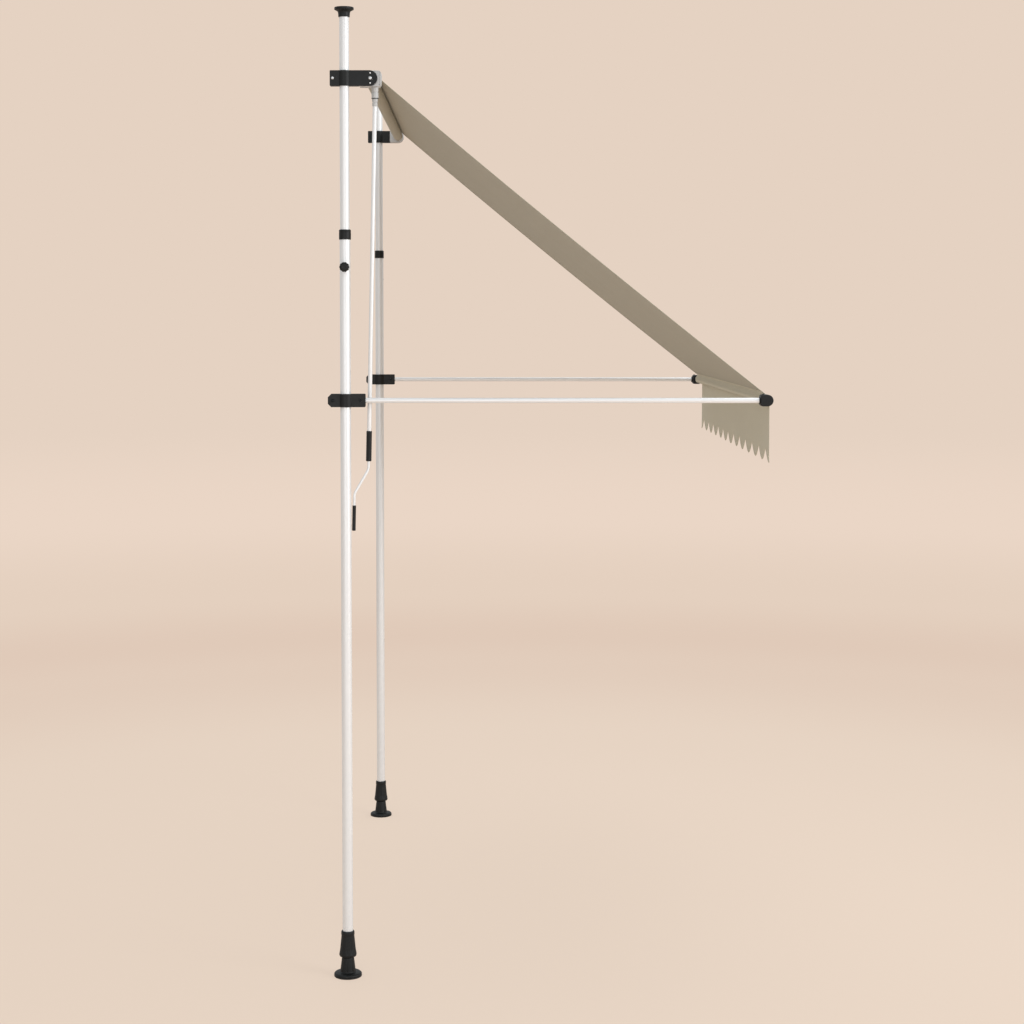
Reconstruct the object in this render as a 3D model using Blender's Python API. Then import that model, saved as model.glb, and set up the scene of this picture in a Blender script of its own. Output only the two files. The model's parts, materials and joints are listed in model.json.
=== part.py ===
"""Clamp awning for a balcony: two telescopic masts held between floor and ceiling, a winch-driven
fabric roller between them, and two drop arms that carry the front bar and its scalloped valance.

Metres, +Z up. The masts stand on Z = 0 at X = -1 and X = +1, and the canopy projects towards -Y.
"""

import math

import bmesh
import bpy
from mathutils import Vector

# ---------------------------------------------------------------- driving dimensions
GAP = 0.0003  # clearance between pieces that touch or run in each other
ROUND = 22  # facets of an ordinary turned piece
LEFT, RIGHT = -1, 1
SIDES = {"left": LEFT, "right": RIGHT}

HALF_SPAN = 1.000  # from the middle plane to a mast's axis
TOTAL_HEIGHT = 2.946
PROJECTION = 1.274  # from the masts' plane to the front bar's axis
ROLLER_FORWARD, ROLLER_HEIGHT = 0.078, 2.7355
ARM_HEIGHT = 1.771
ARM_CLAMP_BACK = 0.053
CAP_RADIUS = 0.0175
MAST_Y = (PROJECTION + CAP_RADIUS - ARM_CLAMP_BACK) / 2  # centres the whole part on Y = 0

LOWER_TUBE_RADIUS, LOWER_TUBE_WALL = 0.0160, 0.0012
UPPER_TUBE_RADIUS, UPPER_TUBE_WALL = 0.0143, 0.0010
LOWER_TUBE_TOP = 2.262
UPPER_TUBE_BOTTOM, UPPER_TUBE_TOP = 1.900, 2.9302

PAD_THICKNESS = 0.004
FOOT_RADIUS = 0.043
FOOT_TOP = 0.060
SCREW_RADIUS = 0.008
SCREW_TOP = 0.230
SLEEVE_TOP = 0.142
NUT_TOP = 0.085

COLLAR_RADIUS, COLLAR_BOTTOM, COLLAR_TOP = 0.018, 2.255, 2.285
KNOB_HEIGHT, KNOB_RADIUS, KNOB_REACH = 2.172, 0.015, 0.046
KNOB_STEM_RADIUS = 0.004
CEILING_PAD_RADIUS, CEILING_NECK_RADIUS = 0.029, 0.017

CLAMP_FLAT = 0.0125  # half thickness of a clamp away from its tube
CLAMP_WALL = 0.0047
BOLT_RADIUS = 0.003
ROLLER_CLAMP_HALF_HEIGHT = 0.023
ROLLER_CLAMP_BACK = 0.043
ROLLER_CLAMP_NOSE = 0.076
INNER_CLAMP_FRONT = 0.0445
ROLLER_BOLT_FORWARD = -0.0345

ARM_CLAMP_HALF_HEIGHT = 0.020
ARM_CLAMP_FRONT = 0.060
ARM_BOLT_FORWARD = -0.038
PIVOT_FORWARD = 0.045
PIVOT_RADIUS = 0.004
ARM_RADIUS, ARM_WALL = 0.008, 0.0011
ARM_SLOT = ARM_RADIUS + GAP
EYE_RADIUS = 0.011

HOUSING_DEPTH = 0.046  # inboard reach of the winch housing
HOUSING_FRONT = 0.110
HOUSING_WALL = 0.0035
WORM_FORWARD, WORM_INBOARD = 0.0905, 0.024
WORM_RADIUS = 0.0038
WHEEL_TEETH = 16
BRACKET_DEPTH = 0.030

JOINT_HEIGHT = 2.6735  # centre of the crank's universal joint
JOINT_BALL = 0.009
CRANK_LEAN = math.radians(1.2)
CRANK_RADIUS, CRANK_WALL = 0.0065, 0.0010
CRANK_LENGTH = 1.045
UPPER_GRIP_START, UPPER_GRIP_END, UPPER_GRIP_RADIUS = 0.9965, 1.0885, 0.0085
ROD_RADIUS = 0.004
ROD_START, BEND_START, BEND_END, ROD_END = 0.980, 1.114, 1.1875, 1.2965
ROD_THROW_BACK, ROD_THROW_OUT = 0.0405, 0.017
LOWER_GRIP_START, LOWER_GRIP_END, LOWER_GRIP_RADIUS = 1.223, 1.300, 0.0055

CANVAS_HALF_WIDTH = 0.950
CANVAS_THICKNESS = 0.001
ROLLER_RADIUS, ROLLER_WALL = 0.0135, 0.0010
ROLL_RADIUS = 0.019
SPINDLE_RADIUS = 0.005
BAR_RADIUS, BAR_WALL = 0.011, 0.0012
HEM_RADIUS = 0.0135
CAP_INBOARD, CAP_OUTBOARD, CAP_BORE_START = 0.030, 0.0145, 0.012

VALANCE_DROP = 0.193
VALANCE_THICKNESS = 0.0008
SCALLOPS = 12
SCALLOP_DEPTH = 0.040


# ---------------------------------------------------------------- materials
def finish(name, colour, roughness, metallic=0.0):
    """Principled material with the finish's linear colour, roughness and metallic value."""
    material = bpy.data.materials.new(name)
    material.use_nodes = True
    shader = material.node_tree.nodes["Principled BSDF"]
    shader.inputs["Base Color"].default_value = (*colour, 1.0)
    shader.inputs["Roughness"].default_value = roughness
    shader.inputs["Metallic"].default_value = metallic
    return material


def finishes():
    """Every finish of the awning, by name."""
    return {
        "powder_coat": finish("powder_coat", (0.80, 0.80, 0.80), 0.38),
        "black_plastic": finish("black_plastic", (0.018, 0.020, 0.020), 0.55),
        "grey_plastic": finish("grey_plastic", (0.60, 0.60, 0.58), 0.50),
        "canvas": finish("canvas", (0.36, 0.32, 0.25), 0.85),
        "zinc_steel": finish("zinc_steel", (0.62, 0.62, 0.63), 0.35, 1.0),
        "rubber": finish("rubber", (0.020, 0.020, 0.020), 0.80),
    }


# ---------------------------------------------------------------- building blocks
def add_object(name, mesh_or_curve, material, location=(0, 0, 0), rotation=(0, 0, 0), parent=None):
    """Link a new object, placed in world axes or in its parent's."""
    piece = bpy.data.objects.new(name, mesh_or_curve)
    bpy.context.collection.objects.link(piece)
    piece.location = location
    piece.rotation_euler = rotation
    if parent:
        piece.parent = parent
    if material:
        mesh_or_curve.materials.append(material)
    return piece


def mesh_from(name, bm):
    """Close a bmesh into a mesh with outward faces and crisp edges."""
    bmesh.ops.remove_doubles(bm, verts=bm.verts, dist=1e-6)
    bmesh.ops.recalc_face_normals(bm, faces=bm.faces)
    mesh = bpy.data.meshes.new(name)
    bm.to_mesh(mesh)
    bm.free()
    mesh.shade_smooth()
    mesh.set_sharp_from_angle(angle=math.radians(35))
    return mesh


def turned(name, outline, material, facets=ROUND, **placing):
    """Spin a closed outline of (radius, height) points about Z."""
    bm = bmesh.new()
    ring = [bm.verts.new((radius, 0, height)) for radius, height in outline]
    edges = [bm.edges.new((ring[i - 1], ring[i])) for i in range(len(ring))]
    edges = [e for e in edges if max(v.co.x for v in e.verts) > 0]
    bmesh.ops.spin(
        bm, geom=ring + edges, cent=(0, 0, 0), axis=(0, 0, 1), angle=math.tau, steps=facets, use_merge=True
    )
    bmesh.ops.delete(bm, geom=[e for e in bm.edges if not e.link_faces], context="EDGES")
    return add_object(name, mesh_from(name, bm), material, **placing)


def tube(name, radius, wall, start, end, material, **placing):
    """Hollow round tube along Z, open at both ends."""
    outline = [(radius - wall, start), (radius, start), (radius, end), (radius - wall, end)]
    return turned(name, outline, material, **placing)


def side_plate(name, outline, x_start, x_end, material, **placing):
    """Extrude a closed outline of (forward, up) points along X; forward is -Y."""
    bm = bmesh.new()
    face = bm.faces.new([bm.verts.new((x_start, -forward, up)) for forward, up in outline])
    grown = bmesh.ops.extrude_face_region(bm, geom=[face])
    moved = [v for v in grown["geom"] if isinstance(v, bmesh.types.BMVert)]
    bmesh.ops.translate(bm, verts=moved, vec=(x_end - x_start, 0, 0))
    return add_object(name, mesh_from(name, bm), material, **placing)


def arc(centre, radius, start, end, steps):
    """Points of a circular arc in the (forward, up) plane, angles in degrees."""
    return [
        (
            centre[0] + radius * math.cos(math.radians(start + (end - start) * i / steps)),
            centre[1] + radius * math.sin(math.radians(start + (end - start) * i / steps)),
        )
        for i in range(steps + 1)
    ]


def rounded_box(back, front, bottom, top, back_radius, front_radius):
    """Outline of a box in the (forward, up) plane with rounded corners."""
    return (
        arc((front - front_radius, bottom + front_radius), front_radius, -90, 0, 5)
        + arc((front - front_radius, top - front_radius), front_radius, 0, 90, 5)
        + arc((back + back_radius, top - back_radius), back_radius, 90, 180, 3)
        + arc((back + back_radius, bottom + back_radius), back_radius, 180, 270, 3)
    )


def tool(piece, cutter, operation):
    """Apply a guide shape to a piece with an exact Boolean, and hide the guide."""
    cutter.hide_render = True
    cutter.display_type = "WIRE"
    modifier = piece.modifiers.new(cutter.name, "BOOLEAN")
    modifier.solver = "EXACT"
    modifier.operation = operation
    modifier.object = cutter


def rod_guide(name, radius, start, end, facets=ROUND):
    """Solid round guide between two world points."""
    start, end = Vector(start), Vector(end)
    along = end - start
    outline = [(0, 0), (radius, 0), (radius, along.length), (0, along.length)]
    guide = turned(name, outline, None, facets)
    guide.location = start
    guide.rotation_euler = along.to_track_quat("Z", "Y").to_euler()
    return guide


def box_guide(name, low, high):
    """Solid box guide between two world corners."""
    outline = [(-low[1], low[2]), (-low[1], high[2]), (-high[1], high[2]), (-high[1], low[2])]
    return side_plate(name, outline, low[0], high[0], None)


def drill(piece, name, radius, start, end):
    """Cut a round hole between two world points."""
    tool(piece, rod_guide(name, radius, start, end), "DIFFERENCE")


def cut_box(piece, name, low, high):
    """Cut a box between two world corners."""
    tool(piece, box_guide(name, low, high), "DIFFERENCE")


def inboard(side, distance):
    """World X of a point that lies a distance inboard of a mast's axis."""
    return side * (HALF_SPAN - distance)


def pivot(name, location, rotation=(0, 0, 0), parent=None):
    """Empty on a joint's axis."""
    return add_object(name, None, None, location, rotation, parent)


# ---------------------------------------------------------------- masts
def foot(label, side, mats):
    """Rubber pad, moulded foot and jack screw that stand on the floor."""
    stand = pivot(f"{label}_foot_axis", (side * HALF_SPAN, MAST_Y, 0))
    pad = [(0, 0), (FOOT_RADIUS - 0.0015, 0), (FOOT_RADIUS, 0.0015), (FOOT_RADIUS, PAD_THICKNESS), (0, PAD_THICKNESS)]
    turned(f"{label}_foot_pad", pad, mats["rubber"], parent=stand)
    base = PAD_THICKNESS + GAP
    bore = SCREW_RADIUS + GAP
    outline = [
        (0, base),
        (FOOT_RADIUS - 0.0005, base),
        (FOOT_RADIUS - 0.0005, 0.009),
        (FOOT_RADIUS - 0.0035, 0.012),
        (0.0245, 0.014),
        (0.0232, 0.017),
        (0.0185, FOOT_TOP - 0.001),
        (0.0175, FOOT_TOP),
        (bore, FOOT_TOP),
        (bore, 0.020),
        (0, 0.020),
    ]
    turned(f"{label}_foot_base", outline, mats["black_plastic"], parent=stand)
    screw = [(0, 0.020 + GAP), (SCREW_RADIUS, 0.020 + GAP), (SCREW_RADIUS, SCREW_TOP), (0, SCREW_TOP)]
    turned(f"{label}_foot_screw", screw, mats["zinc_steel"], 20, parent=stand)


def jack_sleeve(label, side, mats):
    """Flared nut that turns on the jack screw and carries the lower tube."""
    bottom = FOOT_TOP + 0.0005
    nut = SCREW_RADIUS + GAP
    seat = LOWER_TUBE_RADIUS + GAP
    outline = [
        (nut, bottom),
        (0.0215, bottom),
        (0.0260, 0.0640),
        (0.0268, 0.0685),
        (0.0240, 0.0850),
        (0.0200, 0.1250),
        (0.0195, 0.1300),
        (0.0195, SLEEVE_TOP - 0.001),
        (0.0185, SLEEVE_TOP),
        (seat, SLEEVE_TOP),
        (seat, NUT_TOP),
        (nut, NUT_TOP),
    ]
    turned(f"{label}_jack_sleeve", outline, mats["black_plastic"], location=(side * HALF_SPAN, MAST_Y, 0))


def post(label, side, mats):
    """Lower tube, its collar and the lock knob that holds the telescope."""
    axis = pivot(f"{label}_post_axis", (side * HALF_SPAN, MAST_Y, 0))
    lower = tube(
        f"{label}_lower_tube",
        LOWER_TUBE_RADIUS,
        LOWER_TUBE_WALL,
        NUT_TOP + GAP,
        LOWER_TUBE_TOP,
        mats["powder_coat"],
        parent=axis,
    )
    outboard = side * (HALF_SPAN + 2 * LOWER_TUBE_RADIUS)
    hole_start = (side * HALF_SPAN, MAST_Y, KNOB_HEIGHT)
    drill(lower, f"{label}_knob_hole", KNOB_STEM_RADIUS + GAP, hole_start, (outboard, MAST_Y, KNOB_HEIGHT))
    slip, seat = UPPER_TUBE_RADIUS + GAP, LOWER_TUBE_RADIUS + GAP
    ledge = LOWER_TUBE_TOP + GAP
    outline = [
        (seat, COLLAR_BOTTOM),
        (COLLAR_RADIUS - 0.0008, COLLAR_BOTTOM),
        (COLLAR_RADIUS, COLLAR_BOTTOM + 0.0008),
        (COLLAR_RADIUS, COLLAR_TOP - 0.0020),
        (COLLAR_RADIUS - 0.0015, COLLAR_TOP),
        (slip, COLLAR_TOP),
        (slip, ledge),
        (seat, ledge),
    ]
    turned(f"{label}_collar", outline, mats["black_plastic"], parent=axis)


def lock_knob(label, side, mats):
    """Round clamping knob on a threaded stem, turned about X."""
    inner = UPPER_TUBE_RADIUS + GAP
    face = LOWER_TUBE_RADIUS + 0.0015
    outline = [
        (0, inner),
        (KNOB_STEM_RADIUS, inner),
        (KNOB_STEM_RADIUS, face),
        (0.0075, face),
        (0.0090, 0.026),
        (KNOB_RADIUS - 0.0010, 0.028),
        (KNOB_RADIUS, 0.030),
        (KNOB_RADIUS, 0.040),
        (KNOB_RADIUS - 0.0020, 0.0440),
        (KNOB_RADIUS - 0.0060, KNOB_REACH),
        (0, KNOB_REACH),
    ]
    turned(
        f"{label}_lock_knob",
        outline,
        mats["black_plastic"],
        location=(side * HALF_SPAN, MAST_Y, KNOB_HEIGHT),
        rotation=(0, side * math.pi / 2, 0),
    )


def upper_mast(label, side, mats):
    """Upper telescope tube and the pad that presses on the ceiling."""
    axis = pivot(f"{label}_mast_axis", (side * HALF_SPAN, MAST_Y, 0))
    tube(
        f"{label}_upper_tube",
        UPPER_TUBE_RADIUS,
        UPPER_TUBE_WALL,
        UPPER_TUBE_BOTTOM,
        UPPER_TUBE_TOP,
        mats["powder_coat"],
        parent=axis,
    )
    bore = UPPER_TUBE_RADIUS + GAP
    neck_bottom, flange = TOTAL_HEIGHT - 0.029, TOTAL_HEIGHT - 0.011
    outline = [
        (bore, neck_bottom),
        (CEILING_NECK_RADIUS, neck_bottom),
        (CEILING_NECK_RADIUS + 0.0008, flange - 0.004),
        (CEILING_PAD_RADIUS - 0.0030, flange),
        (CEILING_PAD_RADIUS, flange + 0.0020),
        (CEILING_PAD_RADIUS, TOTAL_HEIGHT - 0.0015),
        (CEILING_PAD_RADIUS - 0.0015, TOTAL_HEIGHT),
        (0, TOTAL_HEIGHT),
        (0, UPPER_TUBE_TOP + GAP),
        (bore, UPPER_TUBE_TOP + GAP),
    ]
    turned(f"{label}_ceiling_pad", outline, mats["black_plastic"], parent=axis)


# ---------------------------------------------------------------- clamps
def clamp_half(name, side, outward, outline, height, tube_radius, material):
    """One half of a two-part tube clamp: a flat plate with a round bulge over the tube.

    The plan of the half is extruded upwards, then trimmed to its side outline.
    """
    bore, bulge = tube_radius + GAP, tube_radius + CLAMP_WALL
    back, front = min(f for f, _ in outline) - 0.005, max(f for f, _ in outline) + 0.005
    bore_angle = math.degrees(math.asin(GAP / bore))
    bulge_angle = math.degrees(math.asin(CLAMP_FLAT / bulge))
    plan = [(back, GAP)]
    plan += arc((0, 0), bore, 180 - bore_angle, bore_angle, ROUND // 2)
    plan += [(front, GAP), (front, CLAMP_FLAT)]
    plan += arc((0, 0), bulge, bulge_angle, 180 - bulge_angle, 9)
    plan += [(back, CLAMP_FLAT)]
    direction = side * outward
    reach = 0.035
    bm = bmesh.new()
    face = bm.faces.new([bm.verts.new((direction * out, -forward, -reach)) for forward, out in plan])
    grown = bmesh.ops.extrude_face_region(bm, geom=[face])
    moved = [v for v in grown["geom"] if isinstance(v, bmesh.types.BMVert)]
    bmesh.ops.translate(bm, verts=moved, vec=(0, 0, 2 * reach))
    centre = (side * HALF_SPAN, MAST_Y, height)
    half = add_object(name, mesh_from(name, bm), material, centre)
    tool(half, side_plate(f"{name}_trim", outline, -reach, reach, None, location=centre), "INTERSECT")
    return half


def cross_bolt(name, side, forward, height, mats):
    """Through bolt along X with a domed head outboard and a nut inboard."""
    head, thick = 0.0048, 0.0026
    face = CLAMP_FLAT + GAP
    outline = [
        (0, -face - thick),
        (head, -face - thick),
        (head, -face),
        (BOLT_RADIUS, -face),
        (BOLT_RADIUS, face),
        (head, face),
        (head * 0.9, face + thick * 0.6),
        (head * 0.5, face + thick),
        (0, face + thick),
    ]
    turned(
        name,
        outline,
        mats["zinc_steel"],
        16,
        location=(side * HALF_SPAN, MAST_Y - forward, height),
        rotation=(0, side * math.pi / 2, 0),
    )


def hole_across(piece, name, side, radius, forward, height):
    """Drill a clamp half along X at a place ahead of the tube."""
    y = MAST_Y - forward
    reach = 3 * CLAMP_FLAT
    start = (side * HALF_SPAN - reach, y, height)
    drill(piece, name, radius, start, (side * HALF_SPAN + reach, y, height))


def roller_clamp(label, side, mats):
    """Clamp on the upper tube: a long outer plate with a round nose and a short inner half."""
    h = ROLLER_CLAMP_HALF_HEIGHT
    corner = 0.002
    nose = arc((ROLLER_CLAMP_NOSE, 0), h, -90, 90, 14)
    tail = arc((-ROLLER_CLAMP_BACK + corner, h - corner), corner, 90, 180, 2)
    tail += arc((-ROLLER_CLAMP_BACK + corner, -h + corner), corner, 180, 270, 2)
    outer = clamp_half(
        f"{label}_roller_clamp_outer", side, 1, nose + tail, ROLLER_HEIGHT, UPPER_TUBE_RADIUS, mats["black_plastic"]
    )
    short = rounded_box(-ROLLER_CLAMP_BACK, INNER_CLAMP_FRONT, -h, h, corner, corner)
    inner = clamp_half(
        f"{label}_roller_clamp_inner", side, -1, short, ROLLER_HEIGHT, UPPER_TUBE_RADIUS, mats["black_plastic"]
    )
    for half in (outer, inner):
        hole_across(half, f"{half.name}_hole", side, BOLT_RADIUS + GAP, ROLLER_BOLT_FORWARD, ROLLER_HEIGHT)
    cross_bolt(f"{label}_roller_clamp_bolt", side, ROLLER_BOLT_FORWARD, ROLLER_HEIGHT, mats)


def arm_clamp(label, side, mats):
    """Clamp on the lower tube whose open front end holds the drop arm's pivot."""
    h, back, front = ARM_CLAMP_HALF_HEIGHT, ARM_CLAMP_BACK, ARM_CLAMP_FRONT
    cut, nick = 0.010, 0.002
    outline = [
        (front - nick, -h),
        (front, -h + nick),
        (front, h - nick),
        (front - nick, h),
        (-back + cut, h),
        (-back, h - cut),
        (-back, -h + cut),
        (-back + cut, -h),
    ]
    centre_x = side * HALF_SPAN
    slot_back = PIVOT_FORWARD - EYE_RADIUS - 0.003
    for half_name, outward in (("outer", 1), ("inner", -1)):
        name = f"{label}_arm_clamp_{half_name}"
        half = clamp_half(name, side, outward, outline, ARM_HEIGHT, LOWER_TUBE_RADIUS, mats["black_plastic"])
        hole_across(half, f"{name}_hole", side, BOLT_RADIUS + GAP, ARM_BOLT_FORWARD, ARM_HEIGHT)
        hole_across(half, f"{name}_pivot_hole", side, PIVOT_RADIUS + GAP, PIVOT_FORWARD, ARM_HEIGHT)
        low = (centre_x - ARM_SLOT, MAST_Y - front - 0.010, ARM_HEIGHT - 2 * h)
        high = (centre_x + ARM_SLOT, MAST_Y - slot_back, ARM_HEIGHT + 2 * h)
        cut_box(half, f"{name}_slot", low, high)
    cross_bolt(f"{label}_arm_clamp_bolt", side, ARM_BOLT_FORWARD, ARM_HEIGHT, mats)
    reach = CLAMP_FLAT + 0.001
    pin = [(0, -reach), (PIVOT_RADIUS, -reach), (PIVOT_RADIUS, reach), (0, reach)]
    turned(
        f"{label}_arm_pivot_pin",
        pin,
        mats["zinc_steel"],
        16,
        location=(centre_x, MAST_Y - PIVOT_FORWARD, ARM_HEIGHT),
        rotation=(0, math.pi / 2, 0),
    )


# ---------------------------------------------------------------- winch and crank
def winch(mats):
    """Open-backed winch housing, its socket, the worm and the toothed wheel on the roller."""
    h = ROLLER_CLAMP_HALF_HEIGHT + 0.0005
    back = INNER_CLAMP_FRONT + GAP
    outline = rounded_box(back, HOUSING_FRONT, -h, h, 0.001, 0.009)
    start = GAP
    housing = side_plate(
        "winch_housing",
        outline,
        start,
        HOUSING_DEPTH,
        mats["grey_plastic"],
        location=(-HALF_SPAN, MAST_Y, ROLLER_HEIGHT),
    )
    wall = HOUSING_WALL
    low = (-HALF_SPAN - 0.010, MAST_Y - HOUSING_FRONT + wall, ROLLER_HEIGHT - h + wall)
    high = (inboard(LEFT, HOUSING_DEPTH - wall), MAST_Y - back - wall, ROLLER_HEIGHT + h - wall)
    cut_box(housing, "winch_cavity", low, high)
    roller_y = MAST_Y - ROLLER_FORWARD
    spindle_start = (inboard(LEFT, HOUSING_DEPTH - 2 * wall), roller_y, ROLLER_HEIGHT)
    spindle_end = (inboard(LEFT, HOUSING_DEPTH + wall), roller_y, ROLLER_HEIGHT)
    drill(housing, "winch_spindle_hole", SPINDLE_RADIUS + 0.001, spindle_start, spindle_end)
    worm_x, worm_y = inboard(LEFT, WORM_INBOARD), MAST_Y - WORM_FORWARD
    floor = ROLLER_HEIGHT - h
    drill(housing, "winch_worm_hole", 0.0053, (worm_x, worm_y, floor - wall), (worm_x, worm_y, floor + 2 * wall))

    worm_axis = pivot("worm_axis", (worm_x, worm_y, 0))
    socket_top = floor - GAP
    socket = [
        (0.0053, 2.6845),
        (0.0095, 2.6845),
        (0.0105, 2.6860),
        (0.0105, socket_top),
        (0.0053, socket_top),
    ]
    turned("winch_socket", socket, mats["grey_plastic"], parent=worm_axis)
    neck = 0.0022
    worm = [
        (0, 2.6782),
        (neck, 2.6782),
        (neck, 2.6880),
        (0.0050, 2.6900),
        (0.0050, 2.7165),
        (WORM_RADIUS, 2.7175),
        (WORM_RADIUS, 2.7535),
        (0, 2.7535),
    ]
    turned("worm_shaft", worm, mats["zinc_steel"], 20, parent=worm_axis)

    centre_distance = WORM_FORWARD - ROLLER_FORWARD
    tip = centre_distance - WORM_RADIUS - GAP
    root = tip - 0.0018
    half_width = 0.004
    teeth = []
    for tooth in range(WHEEL_TEETH):
        start_angle = 360 * tooth / WHEEL_TEETH
        pitch = 360 / WHEEL_TEETH
        for share, radius in ((0.0, root), (0.35, root), (0.50, tip), (0.85, tip)):
            teeth += arc((0, 0), radius, start_angle + share * pitch, start_angle + share * pitch, 1)[:1]
    axis_x = inboard(LEFT, WORM_INBOARD)
    wheel = side_plate(
        "worm_wheel",
        teeth,
        -half_width,
        half_width,
        mats["zinc_steel"],
        location=(axis_x, roller_y, ROLLER_HEIGHT),
    )
    bore_start = (axis_x - 2 * half_width, roller_y, ROLLER_HEIGHT)
    drill(wheel, "worm_wheel_bore", SPINDLE_RADIUS + GAP, bore_start, (axis_x + 2 * half_width, roller_y, ROLLER_HEIGHT))


def idler_bracket(mats):
    """Round-nosed bearing block that holds the roller's far end."""
    h = ROLLER_CLAMP_HALF_HEIGHT
    nose = arc((ROLLER_CLAMP_NOSE, 0), h, -90, 90, 14)
    back = INNER_CLAMP_FRONT + GAP
    outline = nose + [(back, h), (back, -h)]
    block = side_plate(
        "idler_bracket",
        outline,
        -GAP,
        -BRACKET_DEPTH,
        mats["grey_plastic"],
        location=(HALF_SPAN, MAST_Y, ROLLER_HEIGHT),
    )
    y = MAST_Y - ROLLER_FORWARD
    bore_end = (inboard(RIGHT, BRACKET_DEPTH + 0.010), y, ROLLER_HEIGHT)
    drill(block, "idler_bore", SPINDLE_RADIUS + GAP, (inboard(RIGHT, 0.008), y, ROLLER_HEIGHT), bore_end)


def filleted(points, radius, steps):
    """Path through points with every inner corner rounded by an arc of the given radius."""
    points = [Vector(p) for p in points]
    path = [points[0]]
    for before, corner, after in zip(points, points[1:], points[2:]):
        into, out = (before - corner).normalized(), (after - corner).normalized()
        half = into.angle(out) / 2
        reach = radius / math.tan(half)
        centre = corner + (into + out).normalized() * (radius / math.sin(half))
        start = corner + into * reach - centre
        end = corner + out * reach - centre
        turn = start.angle(end)
        for i in range(steps + 1):
            angle = turn * i / steps
            path.append(centre + (start * math.sin(turn - angle) + end * math.sin(angle)) / math.sin(turn))
    return path + [points[-1]]


def crank(mats):
    """Crank that hangs from a universal joint: tube, two grips and the bent rod between them."""
    centre = (inboard(LEFT, WORM_INBOARD), MAST_Y - WORM_FORWARD, JOINT_HEIGHT)
    axis = pivot("crank_axis", centre, (CRANK_LEAN, 0, 0))
    ball = JOINT_BALL
    cross_radius = 0.0045
    cross = arc((0, 0), cross_radius, -90, 90, 8)
    cross = [(0, -cross_radius)] + cross[1:-1] + [(0, cross_radius)]
    turned("crank_joint_cross", cross, mats["zinc_steel"], 16, parent=axis)
    yoke = [(0.0048, -0.0018), (0.0062, -0.0018), (0.0062, 0.0018), (0.0048, 0.0018)]
    turned("crank_joint_yoke", yoke, mats["zinc_steel"], 20, parent=axis)
    bore = 0.0068
    tube_top = 0.0135
    sleeve = [
        (CRANK_RADIUS + GAP, -0.0240),
        (0.0085, -0.0240),
        (0.0090, -0.0225),
    ]
    top_angle = math.degrees(math.acos(bore / ball))
    sleeve += arc((0, 0), ball, 0, top_angle, 5)
    sleeve += [(bore, -0.0110), (CRANK_RADIUS + GAP, -0.0112)]
    turned("crank_joint_sleeve", sleeve, mats["grey_plastic"], parent=axis)
    tube(
        "crank_tube", CRANK_RADIUS, CRANK_WALL, -CRANK_LENGTH, -tube_top, mats["powder_coat"], parent=axis
    )
    grip_bore, lip = CRANK_RADIUS + GAP, ROD_RADIUS + GAP
    lip_top = UPPER_GRIP_END - 0.006
    chamfer = 0.0015
    grip = [
        (lip, -UPPER_GRIP_END),
        (UPPER_GRIP_RADIUS - chamfer, -UPPER_GRIP_END),
        (UPPER_GRIP_RADIUS, -UPPER_GRIP_END + chamfer),
        (UPPER_GRIP_RADIUS, -UPPER_GRIP_START - chamfer),
        (UPPER_GRIP_RADIUS - chamfer, -UPPER_GRIP_START),
        (grip_bore, -UPPER_GRIP_START),
        (grip_bore, -lip_top),
        (lip, -lip_top),
    ]
    turned("crank_upper_grip", grip, mats["black_plastic"], parent=axis)

    throw = (-ROD_THROW_OUT, ROD_THROW_BACK)
    corners = [
        (0, 0, -ROD_START),
        (0, 0, -BEND_START),
        (throw[0], throw[1], -BEND_END),
        (throw[0], throw[1], -ROD_END),
    ]
    curve = bpy.data.curves.new("crank_rod", "CURVE")
    curve.dimensions = "3D"
    curve.bevel_depth = ROD_RADIUS
    curve.bevel_resolution = 3
    curve.use_fill_caps = True
    path = filleted(corners, 0.018, 5)
    spline = curve.splines.new("POLY")
    spline.points.add(len(path) - 1)
    for point, place in zip(spline.points, path):
        point.co = (*place, 1.0)
    add_object("crank_rod", curve, mats["powder_coat"], parent=axis)

    grip_radius = LOWER_GRIP_RADIUS
    lower = [
        (0, -LOWER_GRIP_END),
        (grip_radius - 0.001, -LOWER_GRIP_END),
        (grip_radius, -LOWER_GRIP_END + 0.001),
        (grip_radius, -LOWER_GRIP_START - 0.001),
        (grip_radius - 0.0005, -LOWER_GRIP_START),
        (lip, -LOWER_GRIP_START),
        (lip, -ROD_END - GAP),
        (0, -ROD_END - GAP),
    ]
    turned("crank_lower_grip", lower, mats["black_plastic"], 20, location=(*throw, 0), parent=axis)


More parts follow.
